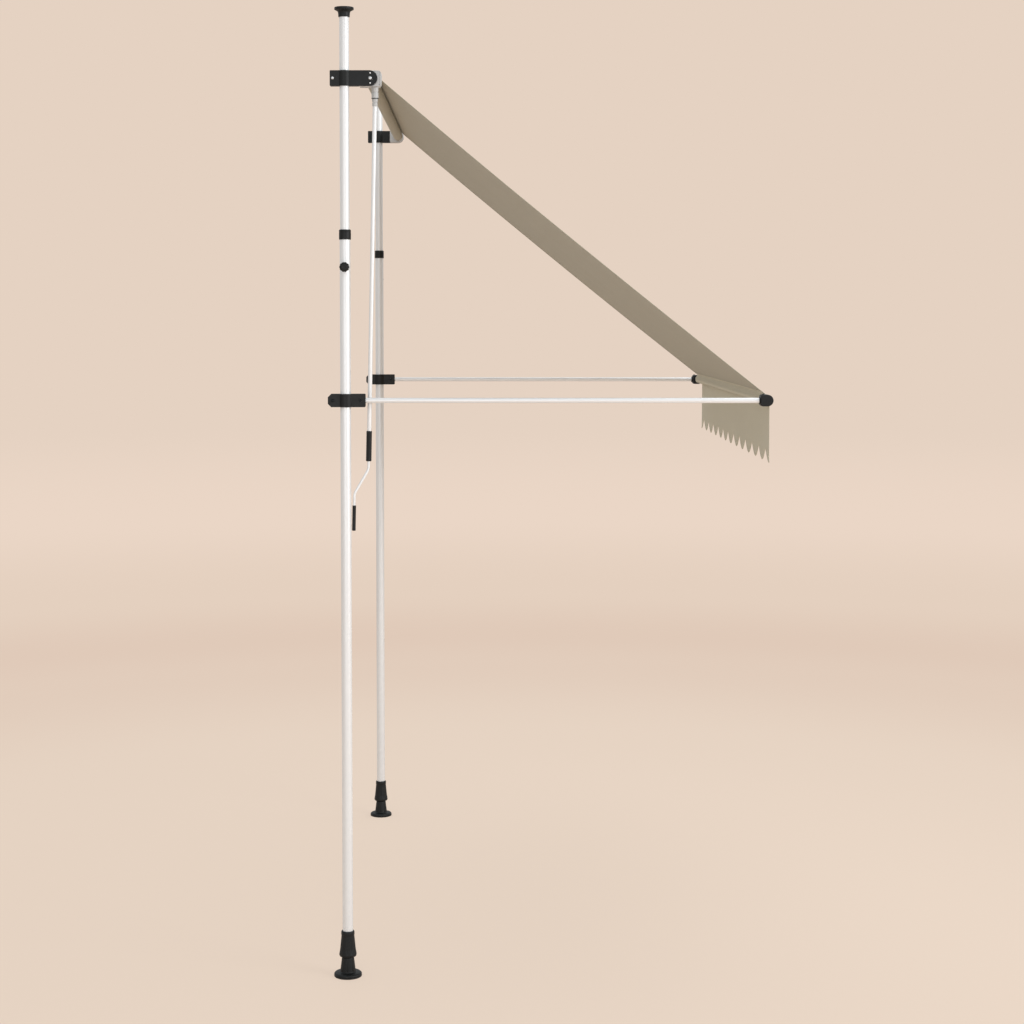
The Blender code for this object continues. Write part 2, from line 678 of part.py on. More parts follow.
# ---------------------------------------------------------------- roller, arms and fabric
def roller(mats):
    """Fabric roller with its two end plugs and the canvas wound on it."""
    axis = pivot("roller_axis", (0, MAST_Y - ROLLER_FORWARD, ROLLER_HEIGHT), (0, math.pi / 2, 0))
    tube_start, tube_end = inboard(LEFT, HOUSING_DEPTH + 0.004), inboard(RIGHT, BRACKET_DEPTH + 0.004)
    tube(
        "roller_tube", ROLLER_RADIUS, ROLLER_WALL, tube_start, tube_end, mats["zinc_steel"], parent=axis
    )
    insert = ROLLER_RADIUS - ROLLER_WALL - GAP
    depth = 0.025
    ends = {
        "roller_drive_plug": (inboard(LEFT, 0.012), inboard(LEFT, HOUSING_DEPTH + 0.0005), tube_start, 1),
        "roller_idler_plug": (inboard(RIGHT, 0.010), inboard(RIGHT, BRACKET_DEPTH + 0.0005), tube_end, -1),
    }
    for name, (tip, flange, mouth, way) in ends.items():
        stop = mouth - way * GAP
        outline = [
            (0, tip),
            (SPINDLE_RADIUS, tip),
            (SPINDLE_RADIUS, flange),
            (ROLLER_RADIUS, flange),
            (ROLLER_RADIUS, stop),
            (insert, stop),
            (insert, mouth + way * depth),
            (0, mouth + way * depth),
        ]
        turned(name, outline, mats["black_plastic"], 24, parent=axis)
    tube(
        "canvas_roll",
        ROLL_RADIUS,
        ROLL_RADIUS - ROLLER_RADIUS - GAP,
        -CANVAS_HALF_WIDTH,
        CANVAS_HALF_WIDTH,
        mats["canvas"],
        facets=28,
        parent=axis,
    )


def drop_arm(label, side, mats):
    """Arm tube with its pivot eye and the moulded cap that joins it to the front bar."""
    axis = pivot(f"{label}_arm_axis", (side * HALF_SPAN, MAST_Y - PIVOT_FORWARD, ARM_HEIGHT))
    start = 0.016
    socket = PROJECTION - PIVOT_FORWARD - 0.012
    tube(
        f"{label}_drop_arm",
        ARM_RADIUS,
        ARM_WALL,
        start,
        socket - GAP,
        mats["powder_coat"],
        rotation=(math.pi / 2, 0, 0),
        parent=axis,
    )
    blade = 0.0045
    eye = arc((0, 0), EYE_RADIUS, 30, 330, 16)
    outline = eye + [(start - GAP, -blade), (0.040, -blade), (0.040, blade), (start - GAP, blade)]
    knuckle = side_plate(f"{label}_arm_eye", outline, -blade, blade, mats["zinc_steel"], parent=axis)
    reach = 0.02
    y = MAST_Y - PIVOT_FORWARD
    drill(
        knuckle,
        f"{label}_eye_hole",
        PIVOT_RADIUS + GAP,
        (side * HALF_SPAN - reach, y, ARM_HEIGHT),
        (side * HALF_SPAN + reach, y, ARM_HEIGHT),
    )
    front_cap(label, side, axis, mats)


def front_cap(label, side, axis, mats):
    """Black corner moulding: a drum along X with one bore for the bar and one for the arm."""
    forward = PROJECTION - PIVOT_FORWARD
    soft = 0.003
    length_out, length_in = CAP_OUTBOARD, CAP_INBOARD
    outline = [
        (0, length_out),
        (CAP_RADIUS - soft, length_out),
        (CAP_RADIUS, length_out - soft),
        (CAP_RADIUS, -length_in + 0.001),
        (CAP_RADIUS - 0.001, -length_in),
        (0, -length_in),
    ]
    cap = turned(
        f"{label}_front_cap",
        outline,
        mats["black_plastic"],
        32,
        location=(0, -forward, 0),
        rotation=(0, side * math.pi / 2, 0),
        parent=axis,
    )
    y = MAST_Y - PROJECTION
    bore_start = (inboard(side, CAP_BORE_START), y, ARM_HEIGHT)
    bore_end = (inboard(side, CAP_INBOARD + 0.010), y, ARM_HEIGHT)
    drill(cap, f"{label}_cap_bar_bore", BAR_RADIUS + GAP, bore_start, bore_end)
    arm_end = (side * HALF_SPAN, y + 0.012, ARM_HEIGHT)
    outside = (side * HALF_SPAN, y + 2 * CAP_RADIUS, ARM_HEIGHT)
    drill(cap, f"{label}_cap_arm_bore", ARM_RADIUS + GAP, arm_end, outside)


def front_bar(mats):
    """Front bar between the caps and the canvas hem that wraps it."""
    axis = pivot("bar_axis", (0, MAST_Y - PROJECTION, ARM_HEIGHT), (0, math.pi / 2, 0))
    end = HALF_SPAN - CAP_BORE_START - GAP
    tube("front_bar", BAR_RADIUS, BAR_WALL, -end, end, mats["powder_coat"], parent=axis)
    wall = HEM_RADIUS - BAR_RADIUS - GAP
    tube(
        "canvas_hem", HEM_RADIUS, wall, -CANVAS_HALF_WIDTH, CANVAS_HALF_WIDTH, mats["canvas"], facets=24, parent=axis
    )


def canopy(mats):
    """Taut sheet that leaves the roll and the bar along their common upper tangent."""
    roll = Vector((0, 0))
    bar = Vector((PROJECTION - ROLLER_FORWARD, ARM_HEIGHT - ROLLER_HEIGHT))
    roll_radius, bar_radius = ROLL_RADIUS + GAP, HEM_RADIUS + GAP
    along = (bar - roll).normalized()
    across = Vector((-along.y, along.x))
    tilt = math.asin((roll_radius - bar_radius) / (bar - roll).length)
    normal = across * math.cos(tilt) + along * math.sin(tilt)
    top = CANVAS_THICKNESS
    outline = [
        roll + normal * roll_radius,
        bar + normal * bar_radius,
        bar + normal * (bar_radius + top),
        roll + normal * (roll_radius + top),
    ]
    side_plate(
        "canopy",
        [tuple(p) for p in outline],
        -CANVAS_HALF_WIDTH,
        CANVAS_HALF_WIDTH,
        mats["canvas"],
        location=(0, MAST_Y - ROLLER_FORWARD, ROLLER_HEIGHT),
    )


def valance(mats):
    """Hanging strip whose lower edge has round scallops between sharp notches."""
    bm = bmesh.new()
    y = -HEM_RADIUS - GAP
    per_scallop = 8
    count = SCALLOPS * per_scallop
    columns = []
    for i in range(count + 1):
        x = CANVAS_HALF_WIDTH * (2 * i / count - 1)
        wave = abs(math.cos(math.pi * SCALLOPS * i / count))
        bottom = -VALANCE_DROP + SCALLOP_DEPTH * (1 - wave)
        columns.append((bm.verts.new((x, y, 0)), bm.verts.new((x, y, bottom))))
    faces = [bm.faces.new((a[0], a[1], b[1], b[0])) for a, b in zip(columns, columns[1:])]
    grown = bmesh.ops.extrude_face_region(bm, geom=faces)
    moved = [v for v in grown["geom"] if isinstance(v, bmesh.types.BMVert)]
    bmesh.ops.translate(bm, verts=moved, vec=(0, -VALANCE_THICKNESS, 0))
    add_object("valance", mesh_from("valance", bm), mats["canvas"], (0, MAST_Y - PROJECTION, ARM_HEIGHT))


def main():
    for old in list(bpy.data.objects):
        bpy.data.objects.remove(old, do_unlink=True)
    mats = finishes()
    for label, side in SIDES.items():
        foot(label, side, mats)
        jack_sleeve(label, side, mats)
        post(label, side, mats)
        lock_knob(label, side, mats)
        upper_mast(label, side, mats)
        roller_clamp(label, side, mats)
        arm_clamp(label, side, mats)
        drop_arm(label, side, mats)
    winch(mats)
    idler_bracket(mats)
    crank(mats)
    roller(mats)
    front_bar(mats)
    canopy(mats)
    valance(mats)


main()
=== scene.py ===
"""Looks of the clamp awning: coated tubes, moulded fittings, winch crank, canvas and stage.

The script is laid out as an add-on and run as a script. Most pieces are a surface of two parameters or a profile
carried round an axis or along a path, computed with numpy;
the moulded clamps, winch housing, bracket, worm wheel and arm eyes are merged copies of the model's meshes with
rounded edges. All lengths are in metres.
"""

import json
import math

import bmesh
import bpy
import numpy as np
from bpy.props import FloatProperty, IntProperty, PointerProperty, StringProperty
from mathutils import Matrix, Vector

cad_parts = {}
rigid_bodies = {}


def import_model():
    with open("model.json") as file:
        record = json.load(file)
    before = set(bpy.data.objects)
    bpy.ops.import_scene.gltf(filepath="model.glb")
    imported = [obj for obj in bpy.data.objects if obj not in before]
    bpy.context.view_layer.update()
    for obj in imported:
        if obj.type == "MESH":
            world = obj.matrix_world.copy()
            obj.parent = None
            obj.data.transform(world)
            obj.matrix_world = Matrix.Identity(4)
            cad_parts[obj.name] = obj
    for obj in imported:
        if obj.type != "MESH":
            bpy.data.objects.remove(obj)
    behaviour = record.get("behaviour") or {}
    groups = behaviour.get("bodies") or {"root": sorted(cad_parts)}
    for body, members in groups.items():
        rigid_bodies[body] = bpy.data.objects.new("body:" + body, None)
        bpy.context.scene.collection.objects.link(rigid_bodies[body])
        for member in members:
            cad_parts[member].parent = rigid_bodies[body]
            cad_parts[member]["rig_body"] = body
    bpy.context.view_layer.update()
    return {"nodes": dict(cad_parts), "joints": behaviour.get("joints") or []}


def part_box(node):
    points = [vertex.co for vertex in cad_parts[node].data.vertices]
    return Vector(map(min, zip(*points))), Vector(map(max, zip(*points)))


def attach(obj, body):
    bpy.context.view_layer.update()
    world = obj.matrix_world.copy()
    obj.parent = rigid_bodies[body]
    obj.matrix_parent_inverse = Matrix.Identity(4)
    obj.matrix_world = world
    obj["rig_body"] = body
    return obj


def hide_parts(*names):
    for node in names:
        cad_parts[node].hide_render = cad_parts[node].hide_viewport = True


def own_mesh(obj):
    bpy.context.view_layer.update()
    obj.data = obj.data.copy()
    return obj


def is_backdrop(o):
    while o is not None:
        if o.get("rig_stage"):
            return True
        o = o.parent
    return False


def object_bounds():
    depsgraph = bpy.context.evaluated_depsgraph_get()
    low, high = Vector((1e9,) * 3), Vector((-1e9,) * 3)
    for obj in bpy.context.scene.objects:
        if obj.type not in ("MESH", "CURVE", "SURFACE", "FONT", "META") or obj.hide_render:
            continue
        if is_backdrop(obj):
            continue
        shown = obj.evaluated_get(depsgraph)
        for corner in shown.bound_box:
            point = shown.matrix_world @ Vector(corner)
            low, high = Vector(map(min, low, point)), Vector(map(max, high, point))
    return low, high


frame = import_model()

bl_info = {
    "name": "Clamp Awning",
    "version": (1, 0, 0),
    "blender": (4, 5, 0),
    "location": "View3D > Sidebar > Awning",
    "description": "Finishes every piece of a telescopic clamp awning",
    "category": "Add Mesh",
}

SIDES = {"left": -1.0, "right": 1.0}
AXES = {"x": Vector((1, 0, 0)), "y": Vector((0, 1, 0)), "z": Vector((0, 0, 1))}


# ---------------------------------------------------------------- user settings
class AwningSizes(bpy.types.PropertyGroup):
    """Sizes and colours that a user would change."""

    canvas_sag: FloatProperty(
        name="Canvas sag",
        description="How far the middle of the canopy hangs below a straight line",
        default=0.007,
        unit="LENGTH",
    )
    canvas_ripple: FloatProperty(
        name="Canvas ripple",
        description="Height of the soft waves in the canopy",
        default=0.0016,
        unit="LENGTH",
    )
    weave_pitch: FloatProperty(
        name="Weave pitch",
        description="Distance between two yarns of the canvas",
        default=0.0022,
        unit="LENGTH",
    )
    stitch_pitch: FloatProperty(
        name="Stitch pitch",
        description="Length of one stitch with its gap",
        default=0.0055,
        unit="LENGTH",
    )
    scallops: IntProperty(name="Scallops", description="Scallops along the valance", default=12)
    scallop_depth: FloatProperty(
        name="Scallop depth",
        description="Height of the notches between scallops",
        default=0.040,
        unit="LENGTH",
    )
    thread_pitch: FloatProperty(
        name="Jack thread pitch",
        description="Rise of the jack screw's thread in one turn",
        default=0.004,
        unit="LENGTH",
    )
    powder_white: StringProperty(name="Powder coat", description="sRGB colour of the tubes", default="d9dfe7")
    nylon_black: StringProperty(name="Nylon", description="sRGB colour of clamps and feet", default="0c0e0e")
    housing_grey: StringProperty(name="Housing", description="sRGB colour of the winch", default="b9b9b8")
    canvas_taupe: StringProperty(name="Canvas", description="sRGB colour of the cloth", default="a6a08e")
    backdrop_peach: StringProperty(name="Backdrop", description="sRGB colour of the stage", default="e5d2c2")


def settings():
    """The add-on's settings in this scene."""
    return bpy.context.scene.awning_sizes


# ---------------------------------------------------------------- colour and nodes
def linear(hexadecimal):
    """sRGB hex turned to linear: c/12.92 below 0.04045, else ((c+0.055)/1.055)^2.4."""
    values = [int(hexadecimal[i : i + 2], 16) / 255 for i in (0, 2, 4)]
    return tuple(c / 12.92 if c <= 0.04045 else ((c + 0.055) / 1.055) ** 2.4 for c in values)


def tinted(hexadecimal, factor):
    """Linear RGBA of a colour, lighter or darker by a factor."""
    return (*(min(1.0, c * factor) for c in linear(hexadecimal)), 1.0)


def put(tree, kind, values=None, links=None):
    """Add a node: lower-case keys are its own settings, the others are its inputs' values."""
    node = tree.nodes.new(kind)
    for key, value in (values or {}).items():
        if isinstance(key, str) and key[0].islower():
            setattr(node, key, value)
        else:
            node.inputs[key].default_value = value
    for socket, source in (links or {}).items():
        tree.links.new(source, node.inputs[socket])
    return node


def blank_material(name, roughness, metallic=0.0):
    """A material holding one Principled shader; returns material, tree and shader."""
    material = bpy.data.materials.new(name)
    material.use_nodes = True
    tree = material.node_tree
    shader = tree.nodes["Principled BSDF"]
    shader.inputs["Roughness"].default_value = roughness
    shader.inputs["Metallic"].default_value = metallic
    return material, tree, shader


def mottle(tree, shader, where, dark, light, scale, detail=4.0):
    """Base colour that wanders between two shades, by a noise of the given scale per metre."""
    noise = put(tree, "ShaderNodeTexNoise", {"Scale": scale, "Detail": detail}, {"Vector": where})
    values = {"data_type": "RGBA", 6: dark, 7: light}
    mix = put(tree, "ShaderNodeMix", values, {0: noise.outputs["Fac"]})
    tree.links.new(mix.outputs[2], shader.inputs["Base Color"])
    return noise, mix


def vary_roughness(tree, shader, source, low, high):
    """Roughness that follows a pattern between two values."""
    spread = put(tree, "ShaderNodeMapRange", {"To Min": low, "To Max": high}, {"Value": source})
    tree.links.new(spread.outputs["Result"], shader.inputs["Roughness"])


def raise_surface(tree, shader, height, strength, distance):
    """Bump from a height pattern."""
    bump = put(tree, "ShaderNodeBump", {"Strength": strength, "Distance": distance}, {"Height": height})
    tree.links.new(bump.outputs["Normal"], shader.inputs["Normal"])


def powder_coat():
    """Polyester powder coat on steel: cured melt, so satin and slightly orange-peeled."""
    material, tree, shader = blank_material("powder_coat", 0.36)
    shade = settings().powder_white
    where = put(tree, "ShaderNodeTexCoord").outputs["Object"]
    noise, _ = mottle(tree, shader, where, tinted(shade, 0.95), tinted(shade, 1.0), 9.0)
    vary_roughness(tree, shader, noise.outputs["Fac"], 0.30, 0.44)
    peel = put(tree, "ShaderNodeTexNoise", {"Scale": 650.0, "Detail": 2.0}, {"Vector": where})
    raise_surface(tree, shader, peel.outputs["Fac"], 0.16, 0.0002)
    shader.inputs["IOR"].default_value = 1.50
    shader.inputs["Coat Weight"].default_value = 0.12
    shader.inputs["Coat Roughness"].default_value = 0.25
    return material


def moulded_nylon():
    """Glass-filled nylon from a spark-eroded mould: black, matt, with a fine even grain."""
    material, tree, shader = blank_material("moulded_nylon", 0.52)
    shade = settings().nylon_black
    where = put(tree, "ShaderNodeTexCoord").outputs["Object"]
    noise, _ = mottle(tree, shader, where, tinted(shade, 0.85), tinted(shade, 1.35), 60.0)
    vary_roughness(tree, shader, noise.outputs["Fac"], 0.42, 0.60)
    grain = put(tree, "ShaderNodeTexVoronoi", {"Scale": 1100.0}, {"Vector": where})
    raise_surface(tree, shader, grain.outputs["Distance"], 0.22, 0.00025)
    shader.inputs["IOR"].default_value = 1.53
    shader.inputs["Specular IOR Level"].default_value = 0.30
    return material


def grey_moulding():
    """Light grey ABS, moulded in a polished tool: satin, with faint flow marks."""
    material, tree, shader = blank_material("grey_moulding", 0.42)
    shade = settings().housing_grey
    where = put(tree, "ShaderNodeTexCoord").outputs["Object"]
    noise, _ = mottle(tree, shader, where, tinted(shade, 0.90), tinted(shade, 1.04), 45.0)
    vary_roughness(tree, shader, noise.outputs["Fac"], 0.34, 0.50)
    grain = put(tree, "ShaderNodeTexNoise", {"Scale": 900.0, "Detail": 3.0}, {"Vector": where})
    raise_surface(tree, shader, grain.outputs["Fac"], 0.15, 0.0002)
    shader.inputs["IOR"].default_value = 1.54
    return material


def plated_zinc():
    """Zinc-plated steel, barrel plated: a soft grey metal with cloudy patches."""
    material, tree, shader = blank_material("plated_zinc", 0.34, 1.0)
    where = put(tree, "ShaderNodeTexCoord").outputs["Object"]
    noise, _ = mottle(tree, shader, where, tinted("a3a4a4", 0.9), tinted("d6d7d8", 1.0), 180.0, 6.0)
    vary_roughness(tree, shader, noise.outputs["Fac"], 0.24, 0.46)
    raise_surface(tree, shader, noise.outputs["Fac"], 0.10, 0.0002)
    return material


def black_zinc():
    """Steel screws with black chromated zinc: a dark metal with a dull, slightly patchy film."""
    material, tree, shader = blank_material("black_zinc", 0.45, 1.0)
    where = put(tree, "ShaderNodeTexCoord").outputs["Object"]
    noise, _ = mottle(tree, shader, where, tinted("1c1d1e", 1.0), tinted("343638", 1.0), 220.0)
    vary_roughness(tree, shader, noise.outputs["Fac"], 0.38, 0.58)
    return material


def galvanised_sheet():
    """Roll-formed galvanised tube: spangled zinc drawn lengthwise by the rollers."""
    material, tree, shader = blank_material("galvanised_sheet", 0.38, 1.0)
    where = put(tree, "ShaderNodeTexCoord").outputs["Object"]
    along = put(tree, "ShaderNodeMapping", {"Scale": (6.0, 160.0, 160.0)}, {"Vector": where})
    dull, bright = tinted("8d8f90", 1.0), tinted("c2c4c6", 1.0)
    noise, _ = mottle(tree, shader, along.outputs["Vector"], dull, bright, 1.0)
    vary_roughness(tree, shader, noise.outputs["Fac"], 0.30, 0.50)
    return material


def black_rubber():
    """Vulcanised rubber: dull black with a pressed, slightly dusty surface."""
    material, tree, shader = blank_material("black_rubber", 0.82)
    where = put(tree, "ShaderNodeTexCoord").outputs["Object"]
    noise, _ = mottle(tree, shader, where, tinted("151515", 1.0), tinted("2b2a28", 1.0), 110.0)
    raise_surface(tree, shader, noise.outputs["Fac"], 0.30, 0.0004)
    shader.inputs["IOR"].default_value = 1.52
    return material


def awning_canvas(name="awning_canvas", pale=1.0):
    """Plain-woven polyester canvas: warp and weft cross in a checker, with uneven yarns.

    The real yarns lie about 0.6 mm apart; they are drawn coarser so that the weave shows.
    The pattern reads the cloth's own UV map, which is in metres.
    """
    material, tree, shader = blank_material(name, 0.86)
    sizes = settings()
    cloth = put(tree, "ShaderNodeUVMap", {"uv_map": "cloth"}).outputs["UV"]
    per_metre = 1.0 / sizes.weave_pitch
    yarns = put(tree, "ShaderNodeMapping", {"Scale": (per_metre,) * 3}, {"Vector": cloth})
    spot = yarns.outputs["Vector"]
    half = 0.5  # one sine band of the wave texture spans two yarns
    bands = {"wave_type": "BANDS", "bands_direction": "X", "Scale": half * math.pi / 10, "Distortion": 0.0}
    weft = put(tree, "ShaderNodeTexWave", bands, {"Vector": spot})
    warp = put(tree, "ShaderNodeTexWave", {**bands, "bands_direction": "Y"}, {"Vector": spot})
    checker = put(tree, "ShaderNodeTexChecker", {"Scale": 1.0}, {"Vector": spot})
    weave = put(
        tree,
        "ShaderNodeMix",
        {"data_type": "FLOAT"},
        {0: checker.outputs["Fac"], 2: weft.outputs["Fac"], 3: warp.outputs["Fac"]},
    )
    streaks = []
    for scale in ((26.0, 900.0, 1.0), (900.0, 26.0, 1.0)):
        stretched = put(tree, "ShaderNodeMapping", {"Scale": scale}, {"Vector": cloth})
        noise = {"Scale": 1.0, "Detail": 3.0}
        streaks.append(put(tree, "ShaderNodeTexNoise", noise, {"Vector": stretched.outputs["Vector"]}))
    slub = put(
        tree,
        "ShaderNodeMath",
        {"operation": "ADD"},
        {0: streaks[0].outputs["Fac"], 1: streaks[1].outputs["Fac"]},
    )
    cloud = put(tree, "ShaderNodeTexNoise", {"Scale": 3.2, "Detail": 5.0}, {"Vector": cloth})
    shade = sizes.canvas_taupe
    tone = put(
        tree,
        "ShaderNodeMapRange",
        {"From Min": 0.7, "From Max": 1.3, "To Min": 0.0, "To Max": 1.0},
        {"Value": slub.outputs["Value"]},
    )
    # pale scales the yarn colours: above 1 it paints light into the cloth, giving a paler copy of the same
    # canvas.
    yarn_colour = put(
        tree,
        "ShaderNodeMix",
        {"data_type": "RGBA", 6: tinted(shade, 0.93 * pale), 7: tinted(shade, 1.05 * pale)},
        {0: tone.outputs["Result"]},
    )
    weathered = put(
        tree,
        "ShaderNodeMix",
        {"data_type": "RGBA", "blend_type": "MULTIPLY", 7: (0.93, 0.93, 0.92, 1.0)},
        {0: cloud.outputs["Fac"], 6: yarn_colour.outputs[2]},
    )
    tree.links.new(weathered.outputs[2], shader.inputs["Base Color"])
    raise_surface(tree, shader, weave.outputs[0], 0.45, 0.0003)
    shader.inputs["Sheen Weight"].default_value = 0.12
    shader.inputs["Sheen Roughness"].default_value = 0.45
    shader.inputs["Specular IOR Level"].default_value = 0.25
    return material


def paler_painted_canvas():
    """The same canvas in one hanging layer, its colour painted 1.5 times paler: painted light that stands for
    the daylight passing through it.
    """
    return awning_canvas("paler_painted_canvas", 1.50)


def sewing_thread():
    """Bonded polyester thread a shade lighter than the cloth, two plies twisted."""
    material, tree, shader = blank_material("sewing_thread", 0.60)
    where = put(tree, "ShaderNodeTexCoord").outputs["Object"]
    noise, _ = mottle(
        tree, shader, where, tinted(settings().canvas_taupe, 1.05), tinted(settings().canvas_taupe, 1.30), 700.0
    )
    raise_surface(tree, shader, noise.outputs["Fac"], 0.30, 0.0002)
    return material


RECIPES = {
    "powder_coat": powder_coat,
    "moulded_nylon": moulded_nylon,
    "grey_moulding": grey_moulding,
    "plated_zinc": plated_zinc,
    "black_zinc": black_zinc,
    "galvanised_sheet": galvanised_sheet,
    "black_rubber": black_rubber,
    "awning_canvas": awning_canvas,
    "paler_painted_canvas": paler_painted_canvas,
    "sewing_thread": sewing_thread,
}


def finish_named(name):
    """The named finish, made on first use."""
    return bpy.data.materials.get(name) or RECIPES[name]()


# ---------------------------------------------------------------- surfaces
def surface(name, points, wrap_u=False, wrap_v=False, cloth=None):
    """Mesh of a grid of points P(u, v): each face joins (i, j), (i+1, j), (i+1, j+1), (i, j+1)."""
    rows, columns = points.shape[:2]
    index = np.arange(rows * columns).reshape(rows, columns)
    if wrap_u:
        index = np.vstack([index, index[:1]])
    if wrap_v:
        index = np.hstack([index, index[:, :1]])
    quads = np.stack([index[:-1, :-1], index[1:, :-1], index[1:, 1:], index[:-1, 1:]], -1).reshape(-1, 4)
    mesh = bpy.data.meshes.new(name)
    mesh.vertices.add(rows * columns)
    mesh.vertices.foreach_set("co", points.astype(np.float32).ravel())
    mesh.loops.add(quads.size)
    mesh.loops.foreach_set("vertex_index", quads.astype(np.int32).ravel())
    mesh.polygons.add(len(quads))
    mesh.polygons.foreach_set("loop_start", np.arange(0, quads.size, 4, dtype=np.int32))
    if cloth is not None:
        layer = mesh.uv_layers.new(name="cloth")
        layer.data.foreach_set("uv", cloth.reshape(-1, 2)[quads.ravel()].astype(np.float32).ravel())
    mesh.update(calc_edges=True)
    mesh.validate()
    return mesh


def closed_shape(mesh, sharp=40.0):
    """Merge poles and seams, turn faces outwards and keep edges over an angle crisp."""
    shape = bmesh.new()
    shape.from_mesh(mesh)
    bmesh.ops.remove_doubles(shape, verts=shape.verts, dist=1e-7)
    bmesh.ops.recalc_face_normals(shape, faces=shape.faces)
    shape.to_mesh(mesh)
    shape.free()
    mesh.shade_smooth()
    mesh.set_sharp_from_angle(angle=math.radians(sharp))
    return mesh


def place(name, mesh, body, finish, stands_for=()):
    """Link a finished mesh, give it its finish and let it ride on a body."""
    piece = bpy.data.objects.new(name, mesh)
    bpy.context.scene.collection.objects.link(piece)
    piece.data.materials.append(finish_named(finish))
    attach(piece, body)
    if stands_for:
        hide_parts(*stands_for)
    return piece


def body_of(node):
    """Name of the body that carries a CAD node."""
    return frame["nodes"][node]["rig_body"]


def rounded(points, radius, closed=True, steps=4):
    """Round a profile's corners: each corner becomes a quadratic curve that starts a radius away."""
    points = np.asarray(points, float)
    before, after = np.roll(points, 1, 0), np.roll(points, -1, 0)
    to_before, to_after = before - points, after - points
    length_before = np.linalg.norm(to_before, axis=1, keepdims=True)
    length_after = np.linalg.norm(to_after, axis=1, keepdims=True)
    radius = np.broadcast_to(np.asarray(radius, float), (len(points),))[:, None]
    start = points + to_before / length_before * np.minimum(radius, 0.45 * length_before)
    end = points + to_after / length_after * np.minimum(radius, 0.45 * length_after)
    t = np.linspace(0, 1, steps + 1)[None, :, None]
    curve = (1 - t) ** 2 * start[:, None] + 2 * t * (1 - t) * points[:, None] + t**2 * end[:, None]
    if closed:
        return curve.reshape(-1, points.shape[1])
    inner = curve[1:-1].reshape(-1, points.shape[1])
    return np.vstack([points[:1], inner, points[-1:]])


def lathe(name, profile, origin, axis, closed, segments=72, relief=None):
    """Turned form: P(s, t) = origin + z(s) axis + (r(s) + relief(r, z, t)) (cos t e1 + sin t e2)."""
    axis = np.array(axis, float) / np.linalg.norm(axis)
    helper = np.array((0.0, 0.0, 1.0)) if abs(axis[2]) < 0.9 else np.array((1.0, 0.0, 0.0))
    first = np.cross(helper, axis)
    first /= np.linalg.norm(first)
    second = np.cross(axis, first)
    radius, along = profile[:, 0][:, None], profile[:, 1][:, None]
    turn = np.linspace(0, math.tau, segments, endpoint=False)[None, :]
    reach = radius + (relief(radius, along, turn) if relief else 0.0) * np.ones_like(turn)
    reach = np.where(radius < 1e-9, 0.0, reach)
    points = (
        np.array(origin, float)
        + along[..., None] * axis
        + reach[..., None] * (np.cos(turn)[..., None] * first + np.sin(turn)[..., None] * second)
    )
    return closed_shape(surface(name, points, wrap_u=closed, wrap_v=True))


def solid_profile(points, radius, steps=4):
    """Rounded profile of a solid turned piece whose first and last points lie on its axis."""
    return rounded(points, radius, closed=False, steps=steps)


def ring_profile(inner, outer, start, end, radius):
    """Rounded profile of a tube: a rectangle from inner to outer radius."""
    return rounded([(inner, start), (outer, start), (outer, end), (inner, end)], radius)


def turned_node(node, axis, profile, finish, closed, segments=72, relief=None, origin=None):
    """Fine turned form that stands for a CAD node; its profile is measured from the origin."""
    centre = sum(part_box(node), Vector()) / 2 if origin is None else Vector(origin)
    along = AXES[axis] if isinstance(axis, str) else axis
    mesh = lathe(f"{node}_form", profile, centre, along, closed, segments, relief)
    return place(f"{node}_form", mesh, body_of(node), finish, [node])


def half_size(node):
    """Half of a CAD node's box along X, Y and Z."""
    low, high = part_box(node)
    return (high - low) / 2


def coated_tube(node, axis, wall, finish="powder_coat"):
    """Round tube in a CAD tube's place, with drawn lips and 96 flats."""
    half = half_size(node)
    letters = "xyz"
    length = half[letters.index(axis)]
    radius = half[(letters.index(axis) + 1) % 3]
    radius = max(radius, half[(letters.index(axis) + 2) % 3])
    profile = ring_profile(radius - wall, radius, -length, length, 0.0004)
    return turned_node(node, axis, profile, finish, True, 96)


def softened(node, finish, width=0.0012, name=None):
    """Moulded form from a merged copy of a CAD node's mesh, with rounded edges."""
    source = frame["nodes"][node].data
    mesh = source.copy()
    mesh.name = f"{node}_form"
    mesh.materials.clear()
    shape = bmesh.new()
    shape.from_mesh(mesh)
    bmesh.ops.remove_doubles(shape, verts=shape.verts, dist=2e-5)
    bmesh.ops.dissolve_limit(
        shape, angle_limit=math.radians(1.0), verts=shape.verts, edges=shape.edges, use_dissolve_boundaries=False
    )
    shape.to_mesh(mesh)
    shape.free()
    mesh.shade_smooth()
    piece = place(name or f"{node}_form", mesh, body_of(node), finish, [node])
    bevel = piece.modifiers.new("moulded_edges", "BEVEL")
    bevel.width = width
    bevel.segments = 3
    bevel.limit_method = "ANGLE"
    bevel.angle_limit = math.radians(32)
    bevel.use_clamp_overlap = True
    weighted = piece.modifiers.new("even_shading", "WEIGHTED_NORMAL")
    weighted.keep_sharp = True
    return piece


def swept(name, path, radius, flat_normal, segments=24):
    """Round rod: P(s, t) = path(s) + radius (cos t n(s) + sin t b), with b normal to the path's plane."""
    path = np.asarray(path, float)
    tangent = np.gradient(path, axis=0)
    tangent /= np.linalg.norm(tangent, axis=1, keepdims=True)
    binormal = np.array(flat_normal, float) / np.linalg.norm(flat_normal)
    normal = np.cross(binormal, tangent)
    normal /= np.linalg.norm(normal, axis=1, keepdims=True)
    turn = np.linspace(0, math.tau, segments, endpoint=False)
    ring = np.cos(turn)[None, :, None] * normal[:, None] + np.sin(turn)[None, :, None] * binormal
    body = path[:, None] + radius * ring
    tips = [np.repeat(end[None, None], segments, axis=1) for end in (path[0], path[-1])]
    return closed_shape(surface(name, np.concatenate([tips[0], body, tips[1]]), wrap_v=True))


